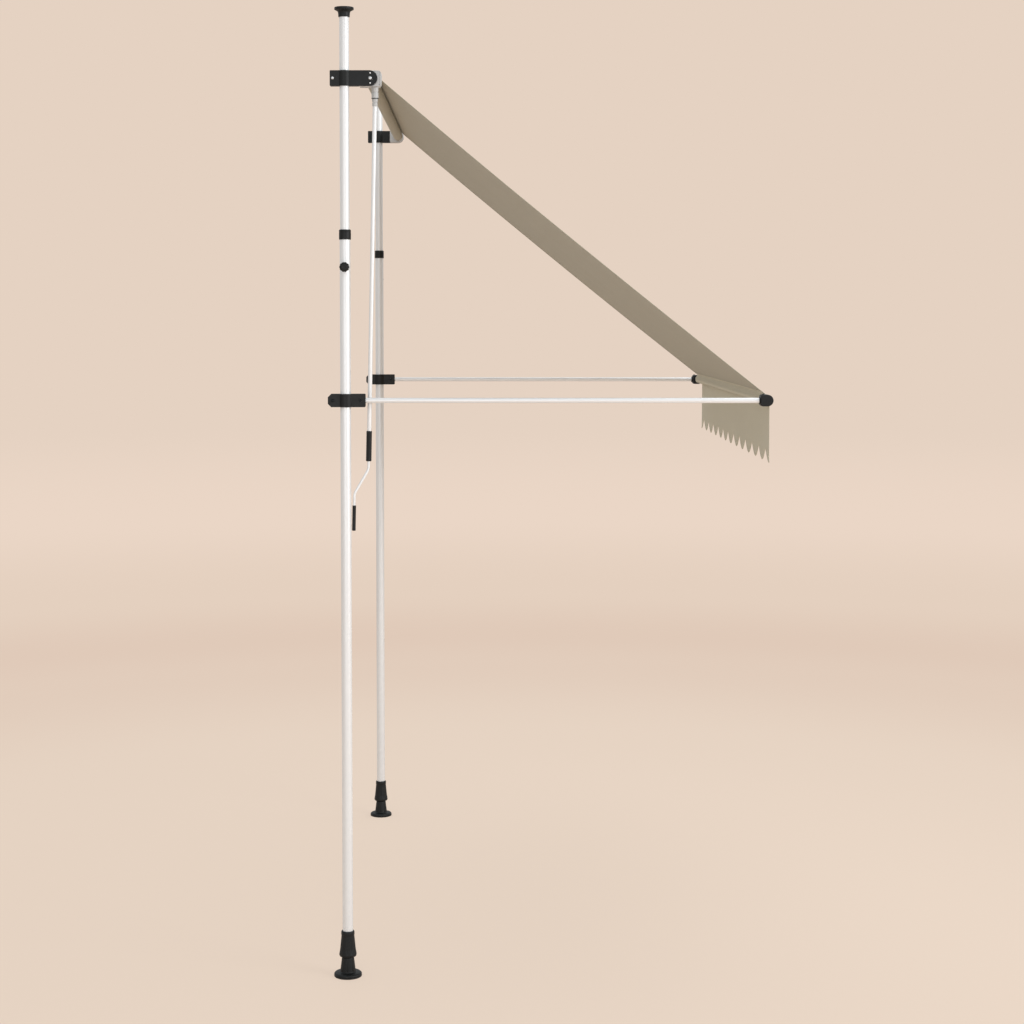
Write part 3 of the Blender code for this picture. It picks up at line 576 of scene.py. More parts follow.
# ---------------------------------------------------------------- screws and stitches
def button_screw(name, spot, direction, radius, height, body, finish="plated_zinc", buried=0.001):
    """Button-head screw: a dome with a hexagon socket, its base just inside the surface."""
    socket = radius * 0.42
    floor = height * 0.35
    profile = solid_profile(
        [
            (0, -buried),
            (radius, -buried),
            (radius, height * 0.25),
            (radius * 0.82, height * 0.80),
            (radius * 0.55, height),
            (socket, height),
            (socket, floor),
            (0, floor),
        ],
        [0, 0.0001, height * 0.15, height * 0.3, height * 0.2, 0.00008, 0.0001, 0],
    )

    def relief(reach, along, turn):
        wedge = np.mod(turn, math.pi / 3) - math.pi / 6
        hexagon = np.cos(math.pi / 6) / np.cos(wedge) - 1
        return np.where((reach <= socket * 1.02) & (along >= floor * 0.99), reach * hexagon, 0.0)

    mesh = lathe(name, profile, spot, direction, False, 48, relief)
    return place(name, mesh, body, finish)


def stitches(name, path, normal, body, finish="sewing_thread", width=0.0007, lift=0.0004):
    """Row of stitches on a path: each is a short bead, thick in the middle and pressed in at its ends.

    Q(k, s, t) = path(k + s) + lift normal sin(pi s) + w sin(pi s) (cos t normal + sin t across).
    """
    path = np.asarray(path, float)
    steps = np.linalg.norm(np.diff(path, axis=0), axis=1)
    distance = np.concatenate([[0], np.cumsum(steps)])
    pitch = settings().stitch_pitch
    count = int(distance[-1] / pitch)
    along = (np.arange(count)[:, None] + np.linspace(0.12, 0.88, 5)[None, :]) * pitch
    centre = np.stack([np.interp(along, distance, path[:, i]) for i in range(3)], -1)
    tangent = centre[:, -1:] - centre[:, :1]
    tangent /= np.linalg.norm(tangent, axis=2, keepdims=True)
    up = np.broadcast_to(np.asarray(normal, float), centre.shape)
    across = np.cross(tangent, up)
    swell = np.sin(math.pi * np.linspace(0, 1, 5)) * 0.9 + 0.1
    turn = np.linspace(0, math.tau, 6, endpoint=False)
    ring = (
        np.cos(turn)[None, None, :, None] * up[:, :, None] * 0.7
        + np.sin(turn)[None, None, :, None] * across[:, :, None]
    )
    points = centre[:, :, None] + up[:, :, None] * lift * 0.5 + width / 2 * swell[None, :, None, None] * ring
    block = points.reshape(-1, 3)
    local = np.arange(30).reshape(5, 6)
    around = np.roll(local, -1, axis=1)
    sides = np.stack([local[:-1], local[1:], around[1:], around[:-1]], -1).reshape(-1, 4)
    faces = (sides[None] + 30 * np.arange(count)[:, None, None]).reshape(-1, 4).tolist()
    for tip in (local[0, ::-1], local[-1]):
        faces += (tip[None] + 30 * np.arange(count)[:, None]).tolist()
    mesh = bpy.data.meshes.new(name)
    mesh.from_pydata(block.tolist(), [], faces)
    closed_shape(mesh, 60.0)
    return place(name, mesh, body, finish)


# ---------------------------------------------------------------- masts
def make_tubes():
    """Lower and upper mast tubes, drop arms, front bar and the roller's steel tube."""
    for label in SIDES:
        coated_tube(f"{label}_lower_tube", "z", 0.0012)
        coated_tube(f"{label}_upper_tube", "z", 0.0010)
        coated_tube(f"{label}_drop_arm", "y", 0.0011)
    coated_tube("front_bar", "x", 0.0012)
    coated_tube("roller_tube", "x", 0.0010, "galvanised_sheet")


def make_feet():
    """Rubber pads, stepped feet, threaded jack screws and fluted jack sleeves."""
    for label in SIDES:
        pad = f"{label}_foot_pad"
        half = half_size(pad)
        rim, thick = half.x, half.z
        corners = [(0, -thick), (rim - 0.001, -thick), (rim, thick), (0, thick)]
        profile = solid_profile(corners, [0, 0.0012, 0.0006, 0])
        tread = lambda r, z, t: np.where(r > rim - 0.004, 0.00035 * np.cos(60 * t) - 0.00035, 0.0)
        turned_node(pad, "z", profile, "black_rubber", False, 240, tread)
        make_foot_base(f"{label}_foot_base")
        make_jack_screw(f"{label}_foot_screw")
        make_jack_sleeve(f"{label}_jack_sleeve")


def make_foot_base(node):
    """Round foot with a pressed step, a cone with eight faint ribs and a threaded socket."""
    low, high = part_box(node)
    rim, tall = (high.x - low.x) / 2, high.z - low.z
    bore = 0.0083
    profile = rounded(
        [
            (bore, 0.0157),
            (bore * 0.2, 0.0157),
            (bore * 0.2, 0.0002),
            (rim - 0.0006, 0.0002),
            (rim, 0.0010),
            (rim, 0.0048),
            (rim - 0.0040, 0.0082),
            (0.0270, 0.0094),
            (0.0238, 0.0104),
            (0.0231, 0.0140),
            (0.0187, tall - 0.0020),
            (0.0175, tall),
            (bore, tall),
        ],
        [0.0004, 0.0004, 0.0002, 0.0004, 0.0012, 0.0018, 0.0015, 0.0025, 0.0012, 0.0015, 0.0008, 0.0010, 0.0005],
    )

    def ribs(radius, along, turn):
        cone = (along > 0.0150) & (along < tall - 0.004) & (radius > 0.017)
        return np.where(cone, 0.00045 * np.clip(np.cos(8 * turn), 0, 1) ** 6, 0.0)

    origin = ((low.x + high.x) / 2, (low.y + high.y) / 2, low.z)
    turned_node(node, "z", profile, "moulded_nylon", True, 160, ribs, origin)


def make_jack_screw(node):
    """Threaded rod: r = core + depth * triangle(z / pitch - t / tau), blended out at the ends."""
    low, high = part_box(node)
    radius, tall = (high.x - low.x) / 2, high.z - low.z
    depth, pitch = 0.0011, settings().thread_pitch
    rows = 360
    along = np.linspace(0, tall, rows)
    body = np.stack([np.full(rows, radius), along], 1)
    profile = np.vstack([[(0, 0)], body, [(0, tall)]])

    def thread(reach, height, turn):
        phase = np.mod(height / pitch - turn / math.tau, 1.0)
        flank = np.abs(2 * phase - 1)
        ends = np.clip(np.minimum(height, tall - height) / 0.002, 0, 1)
        return -depth * np.clip(flank * 1.6 - 0.3, 0, 1) * ends - 0.0006 * (1 - ends)

    origin = ((low.x + high.x) / 2, (low.y + high.y) / 2, low.z)
    turned_node(node, "z", profile, "plated_zinc", False, 48, thread, origin)


def make_jack_sleeve(node):
    """Flared nut with finger flutes, a stepped skirt and a thin lip round the tube."""
    low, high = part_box(node)
    tall, flare = high.z - low.z, (high.x - low.x) / 2
    nut, seat = 0.0083, 0.0163
    profile = rounded(
        [
            (nut, 0.0),
            (0.0212, 0.0),
            (0.0222, 0.0012),
            (0.0256, 0.0030),
            (flare, 0.0080),
            (0.0258, 0.0150),
            (0.0240, 0.0245),
            (0.0204, 0.0610),
            (0.0198, 0.0680),
            (0.0205, 0.0700),
            (0.0205, 0.0770),
            (0.0195, tall - 0.0012),
            (0.0185, tall),
            (seat, tall),
            (seat, 0.0245),
            (nut, 0.0245),
        ],
        0.0012,
    )

    def flutes(radius, along, turn):
        share = np.clip((along - 0.008) / 0.010, 0, 1) * np.clip((0.064 - along) / 0.012, 0, 1)
        outer = radius > seat + 0.002
        return np.where(outer, -0.0009 * share * np.clip(np.cos(12 * turn), 0, 1) ** 2, 0.0)

    origin = ((low.x + high.x) / 2, (low.y + high.y) / 2, low.z)
    turned_node(node, "z", profile, "moulded_nylon", True, 192, flutes, origin)


def make_collars_and_knobs():
    """Slip collars with one groove, and clamping knobs with finger lobes on a threaded stem."""
    for label, side in SIDES.items():
        node = f"{label}_collar"
        half = half_size(node)
        rim, tall = half.x, half.z
        bore, ledge, seat = 0.0146, 0.0075, 0.0163
        groove = 0.0006
        profile = rounded(
            [
                (seat, -tall),
                (rim, -tall),
                (rim, tall - 0.0085),
                (rim - groove, tall - 0.0080),
                (rim - groove, tall - 0.0070),
                (rim, tall - 0.0065),
                (rim, tall - 0.0022),
                (rim - 0.0016, tall),
                (bore, tall),
                (bore, -tall + ledge),
                (seat, -tall + ledge),
            ],
            0.0005,
        )
        turned_node(node, "z", profile, "moulded_nylon", True, 120)
        make_knob(f"{label}_lock_knob", side)


def make_knob(node, side):
    """Knob on a threaded stem: rim radius R (1 + lobes), lobes fading towards its domed face."""
    low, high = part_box(node)
    reach = high.x - low.x
    rim = (high.z - low.z) / 2
    inner = low.x if side > 0 else high.x
    stem = 0.0040
    base = 0.0030
    profile = solid_profile(
        [
            (0, 0),
            (stem, 0),
            (stem, base + 0.0002),
            (0.0075, base + 0.0002),
            (0.0088, 0.0112),
            (rim - 0.0008, 0.0135),
            (rim, 0.0160),
            (rim, 0.0250),
            (rim - 0.0020, 0.0292),
            (rim - 0.0060, reach - 0.0004),
            (0.0050, reach),
            (0.0044, reach - 0.0006),
            (0, reach - 0.0006),
        ],
        [0, 0.0003, 0.0002, 0.0006, 0.0015, 0.0012, 0.0020, 0.0025, 0.0020, 0.0020, 0.0003, 0.0003, 0],
    )

    def lobes(radius, along, turn):
        share = np.clip((radius - rim * 0.72) / (rim * 0.28), 0, 1)
        return -0.0011 * share * (0.5 - 0.5 * np.cos(10 * turn)) ** 2

    origin = (inner, (low.y + high.y) / 2, (low.z + high.z) / 2)
    turned_node(node, Vector((side, 0, 0)), profile, "moulded_nylon", False, 200, lobes, origin)


def make_ceiling_pads():
    """Pads on top of the masts: flange, flared neck with gussets and a shallow ring on the face."""
    for label in SIDES:
        node = f"{label}_ceiling_pad"
        low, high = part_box(node)
        tall, rim = high.z - low.z, (high.x - low.x) / 2
        bore, depth = 0.0146, 0.0135
        flange = tall - 0.0088
        profile = rounded(
            [
                (0.0006, tall - 0.0008),
                (0.0100, tall - 0.0008),
                (0.0120, tall),
                (rim - 0.0012, tall),
                (rim, tall - 0.0014),
                (rim, flange + 0.0016),
                (rim - 0.0035, flange),
                (0.0186, flange - 0.0040),
                (0.0172, flange - 0.0080),
                (0.0170, 0.0),
                (bore, 0.0),
                (bore, depth),
                (0.0006, depth),
            ],
            [0.0002, 0.001, 0.001, 0.001, 0.001, 0.001, 0.002, 0.002, 0.002, 0.0006, 0.0004, 0.0004, 0.0001],
        )

        def gussets(radius, along, turn):
            zone = (along > 0.004) & (along < flange - 0.0005) & (radius > 0.0165)
            return np.where(zone, 0.0006 * np.clip(np.cos(8 * turn), 0, 1) ** 8, 0.0)

        origin = ((low.x + high.x) / 2, (low.y + high.y) / 2, low.z)
        turned_node(node, "z", profile, "moulded_nylon", True, 160, gussets, origin)


# ---------------------------------------------------------------- clamps
def make_clamps():
    """Both halves of every tube clamp, their bolts and the arm pins, with the small plate screws."""
    for label, side in SIDES.items():
        for half in ("outer", "inner"):
            softened(f"{label}_roller_clamp_{half}", "moulded_nylon", 0.0014)
            softened(f"{label}_arm_clamp_{half}", "moulded_nylon", 0.0011)
        for kind in ("roller", "arm"):
            shining = kind == "roller" and side < 0
            make_bolt(f"{label}_{kind}_clamp_bolt", side, "plated_zinc" if shining else "black_zinc")
        make_pin(f"{label}_arm_pivot_pin", side)
        make_plate_screws(label, side)


def make_bolt(node, side, finish):
    """Cross bolt: button head outboard with a hexagon socket, nut with six flats inboard."""
    low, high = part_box(node)
    half, head = (high.x - low.x) / 2, (high.z - low.z) / 2
    shank, thick = 0.0030, 0.0026
    socket, floor = head * 0.45, half - thick * 0.65
    profile = solid_profile(
        [
            (0, -half),
            (shank * 0.9, -half),
            (shank * 0.9, -half + 0.0006),
            (head, -half + 0.0006),
            (head, -half + thick),
            (shank, -half + thick),
            (shank, half - thick),
            (head, half - thick),
            (head, half - thick * 0.7),
            (head * 0.6, half),
            (socket, half),
            (socket, floor),
            (0, floor),
        ],
        [0, 0.0002, 0.0001, 0.0002, 0.0002, 0.0001, 0.0001, 0.0001, 0.0009, 0.0006, 0.0001, 0.0001, 0],
    )

    def flats(radius, along, turn):
        wedge = np.mod(turn, math.pi / 3) - math.pi / 6
        hexagon = math.cos(math.pi / 6) / np.cos(wedge) - 1
        nut = (along < -half + thick + 1e-5) & (radius > shank * 1.02)
        recess = (along > floor - 1e-5) & (radius <= socket * 1.02)
        return np.where(nut | recess, radius * hexagon, 0.0)

    turned_node(node, Vector((side, 0, 0)), profile, finish, False, 72, flats)


def make_pin(node, side):
    """Riveted pivot pin with peened ends."""
    half = half_size(node)
    radius, length = half.z, half.x
    profile = solid_profile(
        [(0, -length), (radius * 0.8, -length), (radius, -length + 0.0012), (radius, length - 0.0012),
         (radius * 0.8, length), (0, length)],
        [0, 0.0006, 0.0006, 0.0006, 0.0006, 0],
    )
    turned_node(node, Vector((side, 0, 0)), profile, "black_zinc", False, 48)


def make_plate_screws(label, side):
    """Roller bolt and two white screws on the nose of the outer plate."""
    plate = f"{label}_roller_clamp_outer"
    body = body_of(plate)
    roller_low, roller_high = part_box("roller_tube")
    axis_y, axis_z = (roller_low.y + roller_high.y) / 2, (roller_low.z + roller_high.z) / 2
    face = frame_face(side)
    out = Vector((side, 0, 0))
    offset = 0.0150
    button_screw(f"{label}_roller_axis_bolt", (face, axis_y, axis_z), out, 0.0056, 0.0022, body)
    for name, up in (("upper", offset), ("lower", -offset)):
        spot = (face, axis_y, axis_z + up)
        button_screw(f"{label}_{name}_plate_screw", spot, out, 0.0024, 0.0010, body, "powder_coat")


def frame_face(side):
    """World X of the flat outer face of a roller clamp."""
    low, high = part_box("left_upper_tube" if side < 0 else "right_upper_tube")
    clamp_flat = 0.0125
    return (low.x + high.x) / 2 + side * clamp_flat


# ---------------------------------------------------------------- winch, bracket, roller ends
def make_winch():
    """Winch housing, its socket, worm and toothed wheel, the idler bracket and the roller's plugs."""
    softened("winch_housing", "grey_moulding", 0.0016)
    softened("idler_bracket", "grey_moulding", 0.0018)
    softened("worm_wheel", "plated_zinc", 0.0002)
    make_housing_trim()
    make_socket()
    make_worm()
    for node, way in (("roller_drive_plug", 1.0), ("roller_idler_plug", -1.0)):
        make_plug(node, way)


def make_housing_trim():
    """Bearing ring round the spindle and four cover screws on the housing's inner face."""
    low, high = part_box("winch_housing")
    body = body_of("winch_housing")
    roller_low, roller_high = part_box("roller_tube")
    axis = ((roller_low.y + roller_high.y) / 2, (roller_low.z + roller_high.z) / 2)
    inward = Vector((1, 0, 0))
    profile = ring_profile(0.0066, 0.0105, -0.0004, 0.0010, 0.0004)
    ring = lathe("winch_bearing_ring", profile, (high.x, *axis), inward, True)
    place("winch_bearing_ring", ring, body, "moulded_nylon")
    make_winch_cover(low, high, body)
    inset = 0.0062
    for i, (y, z) in enumerate(
        (
            (low.y + inset, low.z + inset),
            (low.y + inset, high.z - inset),
            (high.y - inset, low.z + inset),
            (high.y - inset, high.z - inset),
        )
    ):
        button_screw(f"winch_cover_screw_{i + 1}", (high.x, y, z), inward, 0.0026, 0.0011, body)
    low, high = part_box("idler_bracket")
    ring = lathe("idler_bearing_ring", profile, (low.x, *axis), -inward, True)
    place("idler_bearing_ring", ring, body_of("idler_bracket"), "moulded_nylon")


def make_winch_cover(low, high, body):
    """Lid on the housing's outer side: a rounded rectangle that swells to a shallow crown.

    P(u, t) = middle + u r(t) (cos t, sin t), r a superellipse of power 6, raised by crown (1 - u^4).
    """
    wall, crown = 0.0022, 0.0005
    half_y, half_z = (high.y - low.y) / 2 - wall, (high.z - low.z) / 2 - wall
    u = np.concatenate([[0.0], np.linspace(0.2, 1, 12)])
    turn = np.linspace(0, math.tau, 96, endpoint=False)
    reach = ((np.abs(np.cos(turn)) / half_y) ** 6 + (np.abs(np.sin(turn)) / half_z) ** 6) ** (-1 / 6)
    ring = u[:, None] * reach[None, :]
    x = low.x + 0.0009 - crown * (1 - u[:, None] ** 4) + 0 * ring
    y = (low.y + high.y) / 2 + ring * np.cos(turn)
    z = (low.z + high.z) / 2 + ring * np.sin(turn)
    face = np.stack([x, y, z], -1)
    back = face[::-1] + np.array((0.0014, 0.0, 0.0))
    mesh = closed_shape(surface("winch_cover", np.concatenate([face, back]), wrap_v=True), 50.0)
    place("winch_cover", mesh, body, "grey_moulding")


def make_socket():
    """Socket under the housing: a sleeve with one groove and a bell that shrouds the joint's ball."""
    low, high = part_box("winch_socket")
    tall, rim = (high.z - low.z) / 2, (high.x - low.x) / 2
    bore, groove = 0.0053, 0.0014
    bell, mouth = 0.0068, 0.0093
    profile = rounded(
        [
            (bore, -tall),
            (mouth, -tall - 0.0010),
            (mouth, -tall - bell),
            (rim - 0.0003, -tall - bell),
            (rim, -tall + 0.0015),
            (rim, tall - 0.0160),
            (rim - groove, tall - 0.0154),
            (rim - groove, tall - 0.0132),
            (rim, tall - 0.0126),
            (rim, tall),
            (bore, tall),
        ],
        0.0005,
    )
    turned_node("winch_socket", "z", profile, "grey_moulding", True, 96)
    middle = (low + high) / 2
    seal = ring_profile(mouth, rim + 0.0004, -tall - bell - 0.0002, -tall - bell + 0.0016, 0.0004)
    ring = lathe("socket_seal", seal, middle, AXES["z"], True)
    place("socket_seal", ring, body_of("winch_socket"), "black_rubber")


def make_worm():
    """Worm shaft whose upper part carries a rounded spiral thread."""
    low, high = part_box("worm_shaft")
    neck, journal, core = 0.0022, 0.0050, 0.0038
    rows = 220
    start, end = 0.0395, high.z - low.z - 0.0008
    spiral = np.stack([np.full(rows, core), np.linspace(start, end, rows)], 1)
    stem = [(0, 0), (neck, 0), (neck, 0.0098), (journal, 0.0118), (journal, 0.0383), (core, 0.0393)]
    profile = np.vstack([solid_profile(stem + [(core, start)], 0.0004), spiral, [(0, end)]])
    pitch = 0.0033

    def thread(radius, along, turn):
        fade = np.clip(np.minimum(along - start, end - along) / 0.002, 0, 1)
        return -0.0009 * fade * (0.5 + 0.5 * np.cos(math.tau * along / pitch - turn))

    origin = ((low.x + high.x) / 2, (low.y + high.y) / 2, low.z)
    turned_node("worm_shaft", "z", profile, "plated_zinc", False, 48, thread, origin)


def make_plug(node, way):
    """End plug of the roller: spindle, flange and a ribbed body pressed into the tube."""
    low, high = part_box(node)
    rim, length = (high.z - low.z) / 2, high.x - low.x
    tube_low, tube_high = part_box("roller_tube")
    mouth = abs((tube_low.x if way > 0 else tube_high.x) - (low.x if way > 0 else high.x))
    spindle, insert = 0.0050, rim - 0.0013
    flange = mouth - 0.0035
    profile = solid_profile(
        [
            (0, 0),
            (spindle, 0),
            (spindle, flange),
            (rim, flange),
            (rim, mouth - 0.0003),
            (insert, mouth - 0.0003),
            (insert, length),
            (0, length),
        ],
        [0, 0.0006, 0.0002, 0.0005, 0.0003, 0.0001, 0.001, 0],
    )

    def ribs(radius, along, turn):
        inside = (along > mouth + 0.001) & (radius > spindle * 1.2)
        return np.where(inside, -0.0008 * np.clip(np.cos(12 * turn), 0, 1), 0.0)

    origin = (low.x if way > 0 else high.x, (low.y + high.y) / 2, (low.z + high.z) / 2)
    turned_node(node, Vector((way, 0, 0)), profile, "moulded_nylon", False, 120, ribs, origin)


# ---------------------------------------------------------------- crank
def joint_named(name):
    """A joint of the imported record."""
    return next(j for j in frame["joints"] if j["name"] == name)


class CrankFrame:
    """The crank's own axes: its origin is the universal joint and its third axis runs up the tube."""

    def __init__(self):
        joint = joint_named("crank_turn")
        self.origin = np.array(joint["pos_m"], float)
        self.up = np.array(joint["axis"], float)
        self.side = np.array((1.0, 0.0, 0.0))
        self.back = np.cross(self.up, self.side)

    def point(self, side, back, up):
        """World place of a point in the crank's axes."""
        return self.origin + side * self.side + back * self.back + up * self.up


def make_crank():
    """Crank: ball-ended joint sleeve, coated tube, two ribbed grips and the bent rod."""
    crank = CrankFrame()
    start, length = 0.0135, 1.045
    radius, wall = 0.0065, 0.0010
    tube = ring_profile(radius - wall, radius, -length, -start, 0.0003)
    turned_node("crank_tube", crank.up, tube, "powder_coat", True, 64, None, crank.origin)
    make_joint_pieces(crank)
    make_grips(crank)
    make_rod(crank)


def make_joint_pieces(crank):
    """Universal joint: slotted ball sleeve, cross ball and yoke ring."""
    ball, bore, tube_bore = 0.0090, 0.0068, 0.0068
    top = math.acos(bore / ball)
    bend = np.linspace(0, top, 12)
    dome = np.stack([ball * np.cos(bend), ball * np.sin(bend)], 1)
    lower = rounded([(tube_bore, -0.0185), (0.0078, -0.0185), (0.0082, -0.0172)], 0.0004, closed=False)
    waist = [(0.0082, -0.0090), (0.0070, -0.0082), (0.0070, -0.0062), (0.0082, -0.0054), (0.0088, -0.0020)]
    inner = [(bore, -0.0110), (tube_bore, -0.0112)]
    profile = np.vstack([lower, waist, dome, inner])
    turned_node("crank_joint_sleeve", crank.up, profile, "grey_moulding", True, 96, None, crank.origin)
    angle = np.linspace(-math.pi / 2, math.pi / 2, 25)
    cross = 0.0045 * np.stack([np.cos(angle), np.sin(angle)], 1)
    cross[[0, -1], 0] = 0
    turned_node("crank_joint_cross", crank.up, cross, "plated_zinc", False, 48, None, crank.origin)
    yoke = ring_profile(0.0048, 0.0062, -0.0018, 0.0018, 0.0003)
    turned_node("crank_joint_yoke", crank.up, yoke, "plated_zinc", True, 48, None, crank.origin)


def make_grips(crank):
    """Grips: barrels with rounded ends; the upper one has rings, the lower one long ribs."""
    lip, bore = 0.0043, 0.0068
    top, end, radius = -0.9965, -1.0885, 0.0085
    rows = np.linspace(top - 0.004, end + 0.004, 120)
    ring_pitch = 0.0046
    share = np.clip(np.minimum(top - 0.006 - rows, rows - end - 0.006) / 0.003, 0, 1)
    barrel = radius - 0.0005 * share * (0.5 + 0.5 * np.cos(math.tau * (rows - top) / ring_pitch)) ** 3
    upper_end = rounded([(bore, top), (radius - 0.0002, top), (radius, top - 0.004)], 0.0022, closed=False)
    lower_end = rounded([(radius, end + 0.004), (radius - 0.0002, end), (lip, end)], 0.0022, closed=False)
    inner = [(lip, end + 0.006), (bore, end + 0.0062)]
    profile = np.vstack([upper_end, np.stack([barrel, rows], 1), lower_end, inner])
    turned_node("crank_upper_grip", crank.up, profile, "moulded_nylon", True, 96, None, crank.origin)

    low_point = np.array(joint_named("lower_grip_spin")["pos_m"], float) - crank.origin
    side, back = low_point @ crank.side, low_point @ crank.back
    top, end, radius = -1.223, -1.300, 0.0055
    stop = end + 0.0032
    outline = [
        (0, end),
        (radius, end),
        (radius, top),
        (lip, top),
        (lip, stop),
        (0, stop),
    ]
    profile = solid_profile(outline, [0, 0.0022, 0.0012, 0.0002, 0.0002, 0])

    def ribs(reach, along, turn):
        share = np.clip(np.minimum(top - 0.006 - along, along - end - 0.008) / 0.004, 0, 1)
        return np.where(reach > lip + 0.0004, -0.00035 * share * np.clip(np.cos(10 * turn), 0, 1), 0.0)

    long_rows = np.linspace(end + 0.004, top - 0.003, 40)
    middle = np.stack([np.full(len(long_rows), radius), long_rows], 1)
    corner = np.argmax(profile[:, 1] > end + 0.004)
    profile = np.vstack([profile[:corner], middle, profile[corner:]])
    origin = crank.point(side, back, 0)
    turned_node("crank_lower_grip", crank.up, profile, "moulded_nylon", False, 100, ribs, origin)


def make_rod(crank):
    """Bent rod: three straight runs joined by rounded bends, in one plane."""
    low_point = np.array(joint_named("lower_grip_spin")["pos_m"], float) - crank.origin
    side, back = low_point @ crank.side, low_point @ crank.back
    corners = np.array(
        [
            crank.point(0, 0, -0.980),
            crank.point(0, 0, -1.114),
            crank.point(side, back, -1.1875),
            crank.point(side, back, -1.2965),
        ]
    )
    path = rounded(corners, 0.010, closed=False, steps=12)
    lengths = np.linalg.norm(np.diff(path, axis=0), axis=1)
    distance = np.concatenate([[0], np.cumsum(lengths)])
    even = np.linspace(0, distance[-1], 120)
    path = np.stack([np.interp(even, distance, path[:, i]) for i in range(3)], 1)
    normal = np.cross(corners[1] - corners[0], corners[2] - corners[1])
    mesh = swept("crank_rod_form", path, 0.0040, normal, 32)
    place("crank_rod_form", mesh, body_of("crank_rod"), "powder_coat", ["crank_rod"])


# ---------------------------------------------------------------- arms and front bar
def make_arm_ends():
    """Pivot eyes and the corner mouldings at the front, with their set screws."""
    for label, side in SIDES.items():
        softened(f"{label}_arm_eye", "plated_zinc", 0.0005)
        make_front_cap(label, side)


def make_front_cap(label, side):
    """Corner moulding: P(u, t) = axis + x(u) + k(u) r(t) (cos t, sin t), boxed behind and round in front.

    r follows a superellipse of power 7 towards the arm and a circle away from it, and k rounds both ends.
    """
    node = f"{label}_front_cap"
    low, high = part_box(node)
    bar_low, bar_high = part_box("front_bar")
    axis_y, axis_z = (bar_low.y + bar_high.y) / 2, (bar_low.z + bar_high.z) / 2
    front, back, tall = axis_y - low.y + 0.0004, 0.0205, (high.z - low.z) / 2
    turn = np.linspace(0, math.tau, 120, endpoint=False)
    c, s = np.cos(turn), np.sin(turn)
    boxed = ((np.abs(c) / back) ** 7 + (np.abs(s) / tall) ** 7) ** (-1 / 7)
    circle = ((np.abs(c) / front) ** 2 + (np.abs(s) / tall) ** 2) ** (-1 / 2)
    blend = np.clip(0.5 + c / 0.5, 0, 1)
    reach = circle + (boxed - circle) * blend**2 * (3 - 2 * blend)
    length, edge = high.x - low.x, 0.0022
    bend = np.linspace(0, math.pi / 2, 6)
    rise = np.concatenate([edge * (1 - np.cos(bend)), length - edge * (1 - np.cos(bend[::-1]))])
    inset = np.concatenate([edge * (1 - np.sin(bend)), edge * (1 - np.sin(bend[::-1]))])
    rise = np.concatenate([[0], rise, [length]])
    size = np.concatenate([[0], 1 - inset / tall, [0]])
    outer = low.x if side < 0 else high.x
    x = outer - side * rise
    ring = size[:, None] * reach[None, :]
    points = np.stack([np.broadcast_to(x[:, None], ring.shape), axis_y + ring * c, axis_z + ring * s], -1)
    mesh = closed_shape(surface(f"{node}_form", points, wrap_v=True), 50.0)
    body = body_of(node)
    place(f"{node}_form", mesh, body, "moulded_nylon", [node])
    tube_low, tube_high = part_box(f"{label}_drop_arm")
    arm_x = (tube_low.x + tube_high.x) / 2
    spot = (arm_x, axis_y + 0.0135, axis_z + tall - 0.0006)
    button_screw(f"{label}_cap_set_screw", spot, Vector((0, 0.15, 1)), 0.0034, 0.0030, body, "moulded_nylon")
    profile = ring_profile(0.0082, 0.0108, -0.0010, 0.0040, 0.0006)
    ring = lathe(f"{label}_cap_ferrule", profile, (arm_x, axis_y + back, axis_z), AXES["y"], True)
    place(f"{label}_cap_ferrule", ring, body, "moulded_nylon")
    stations = ((low.x, 1.0), (high.x, -1.0))
    mouth = stations[1][0] if side < 0 else stations[0][0]
    collar = ring_profile(0.0138, 0.0160, -0.0006, 0.0018, 0.0005)
    rim = lathe(f"{label}_cap_collar", collar, (mouth, axis_y, axis_z), Vector((-side, 0, 0)), True)
    place(f"{label}_cap_collar", rim, body, "moulded_nylon")


# ---------------------------------------------------------------- canvas
def canvas_edges():
    """Half width of the cloth, and the places of roller and bar axes in the (Y, Z) plane."""
    low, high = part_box("canvas_roll")
    roller = np.array(((low.y + high.y) / 2, (low.z + high.z) / 2))
    roll_radius = (high.z - low.z) / 2
    half_width = (high.x - low.x) / 2
    low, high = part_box("canvas_hem")
    bar = np.array(((low.y + high.y) / 2, (low.z + high.z) / 2))
    hem_radius = (high.z - low.z) / 2
    return half_width, roller, roll_radius, bar, hem_radius


def canopy_line():
    """Upper tangent of roll and bar: start, end, direction and normal in the (Y, Z) plane."""
    _, roller, roll_radius, bar, hem_radius = canvas_edges()
    clearance = 0.0003
    r1, r2 = roll_radius + clearance, hem_radius + clearance
    span = bar - roller
    distance = np.linalg.norm(span)
    along = span / distance
    across = np.array((along[1], -along[0]))
    across = across if across[1] > 0 else -across
    tilt = math.asin((r1 - r2) / distance)
    normal = across * math.cos(tilt) + along * math.sin(tilt)
    start, end = roller + normal * r1, bar + normal * r2
    return start, end, (end - start) / np.linalg.norm(end - start), normal


